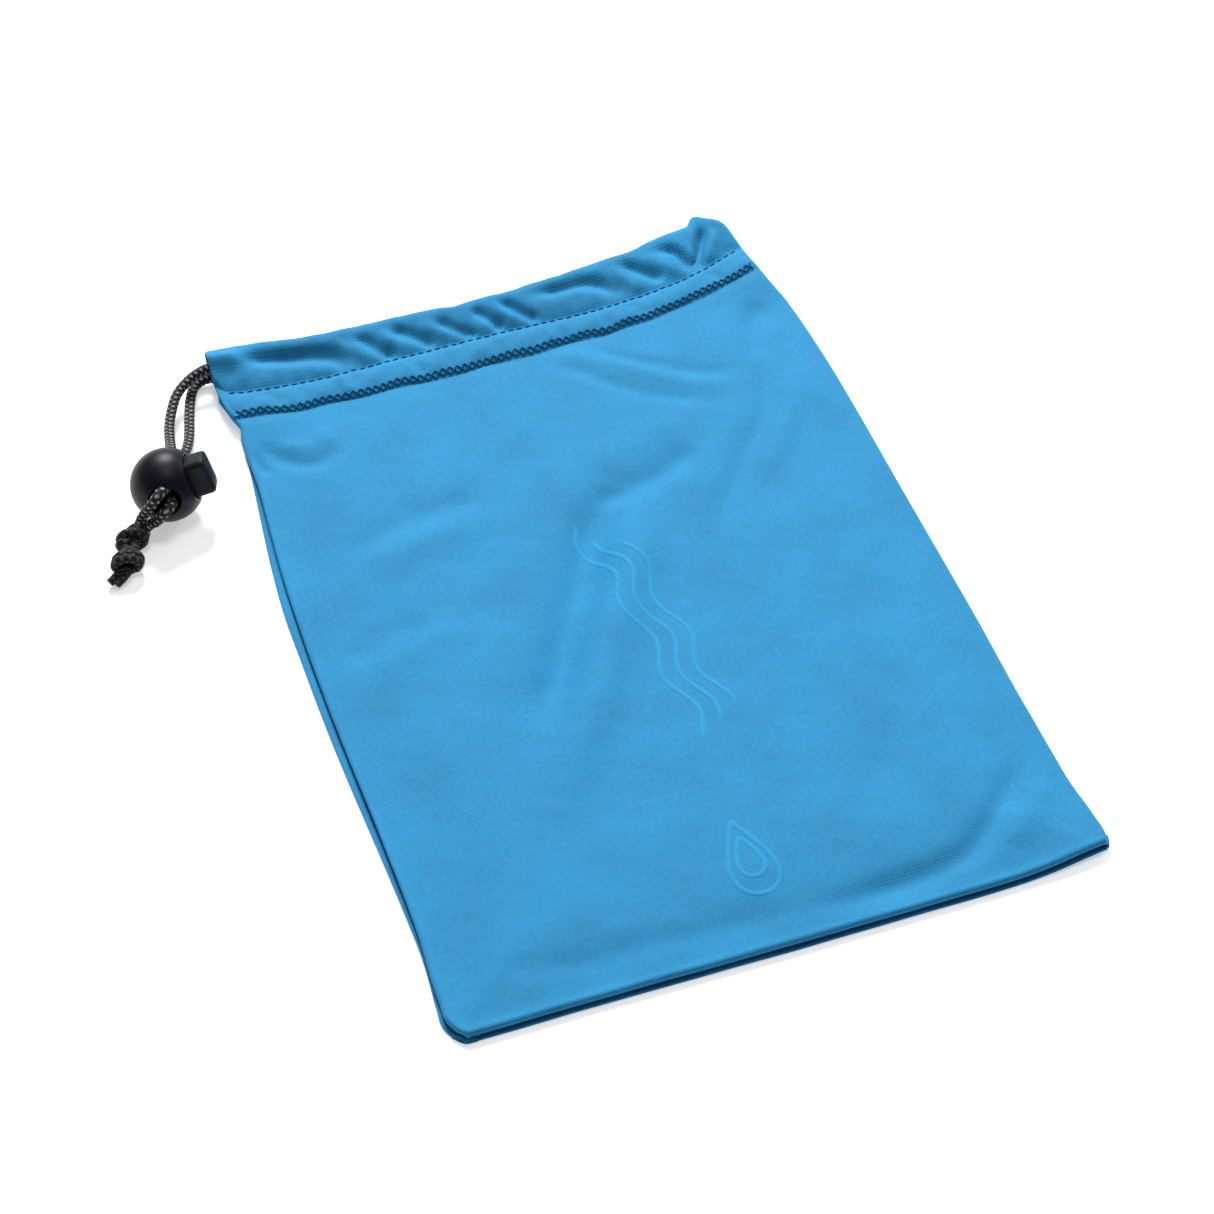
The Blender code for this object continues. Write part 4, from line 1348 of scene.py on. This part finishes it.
def add_marks(mat):
    waves = []
    for number, start in enumerate(WAVE_COLUMNS):
        y = np.linspace(WAVE_HIGH - 5 * number, WAVE_LOW + 4 * number, 260)
        x = start + WAVE_SWING * np.sin(2 * math.pi * y / WAVE_LENGTH) - WAVE_SLANT * (y - WAVE_LOW)
        waves.append(raised_line(x, y, WAVE_TAPER, mat))
    drops = []
    for share in (1.0, 0.55):
        t = np.linspace(0, 2 * math.pi, 200)
        x = DROP_CENTRE[0] + DROP_SIZE[0] * share * np.sin(t) * np.sin(t / 2) ** 1.5
        y = DROP_CENTRE[1] + DROP_SIZE[1] * share * np.cos(t)
        drops.append(raised_line(x, y, DROP_TAPER, mat))
    marks = [joined("wave_marks", waves), joined("drop_mark", drops)]
    for mark in marks:
        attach(mark, FRONT)
    return marks


# Make the object

add_camera()
add_studio()

cord_mat = braided_cord("black_grey_braid", 1.15)
# The knot and its cut ends take the same braid with its grey yarns much darker.
knot_mat = braided_cord("knot_braid_darker", 0.22)
cloth_mat = knit_cloth("blue_knit", (0.0105, 0.197, 0.403))
thread_mat = thread("blue_thread", (0.007, 0.098, 0.215))
fine_thread_mat = thread("cloth_blue_thread", (0.008, 0.125, 0.27))
mark_mat = raised_print("tonal_print", (0.020, 0.235, 0.455))
shell_mat = moulded_plastic("charcoal_shell", (0.005, 0.0042, 0.0085), 0.42, 2600.0)
button_mat = moulded_plastic("charcoal_button", (0.006, 0.007, 0.009), 0.5, 3200.0)
wire_mat = steel_wire("spring_steel")

ball, button = add_lock(shell_mat, button_mat)
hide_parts("lock_ball")
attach(ball, LOCK)
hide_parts("lock_button")
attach(button, BUTTON)

add_spring(wire_mat)
upper, lower = add_free_strands(cord_mat)
knot, cut_ends = add_knot(knot_mat)
for strand, path in upper.values():
    still, moving = metres([path[6], path[-6]])
    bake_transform(strand)
for strand, path in lower.values():
    still, mouth = metres([path[-8], *bore_points(0, (LOCK_MOUTH,))])
    moving = Vector(still).lerp(Vector(mouth), STRETCH_SHARE)
    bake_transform(strand)
for piece in [knot] + cut_ends:
    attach(piece, POUCH)

front_halves, front_hem = add_front(cloth_mat)
front_sewing = add_front_sewing(front_hem, thread_mat, fine_thread_mat)
back_cloth, back_hem = add_back(cloth_mat)
back_sewing = add_back_sewing(back_hem, thread_mat)
add_hem_cord(front_hem, back_hem, cord_mat)
marks = add_marks(mark_mat)

for node in ("side_seam_thread", "bottom_seam_thread"):
    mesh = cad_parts[node].data
    mesh.materials.clear()
    mesh.materials.append(thread_mat)

# What each soft piece is

strands = [(*pair, "fitting", [ball]) for pair in upper.values()]
strands += [(*pair, "knot", [knot, end]) for pair, end in zip(lower.values(), cut_ends)]
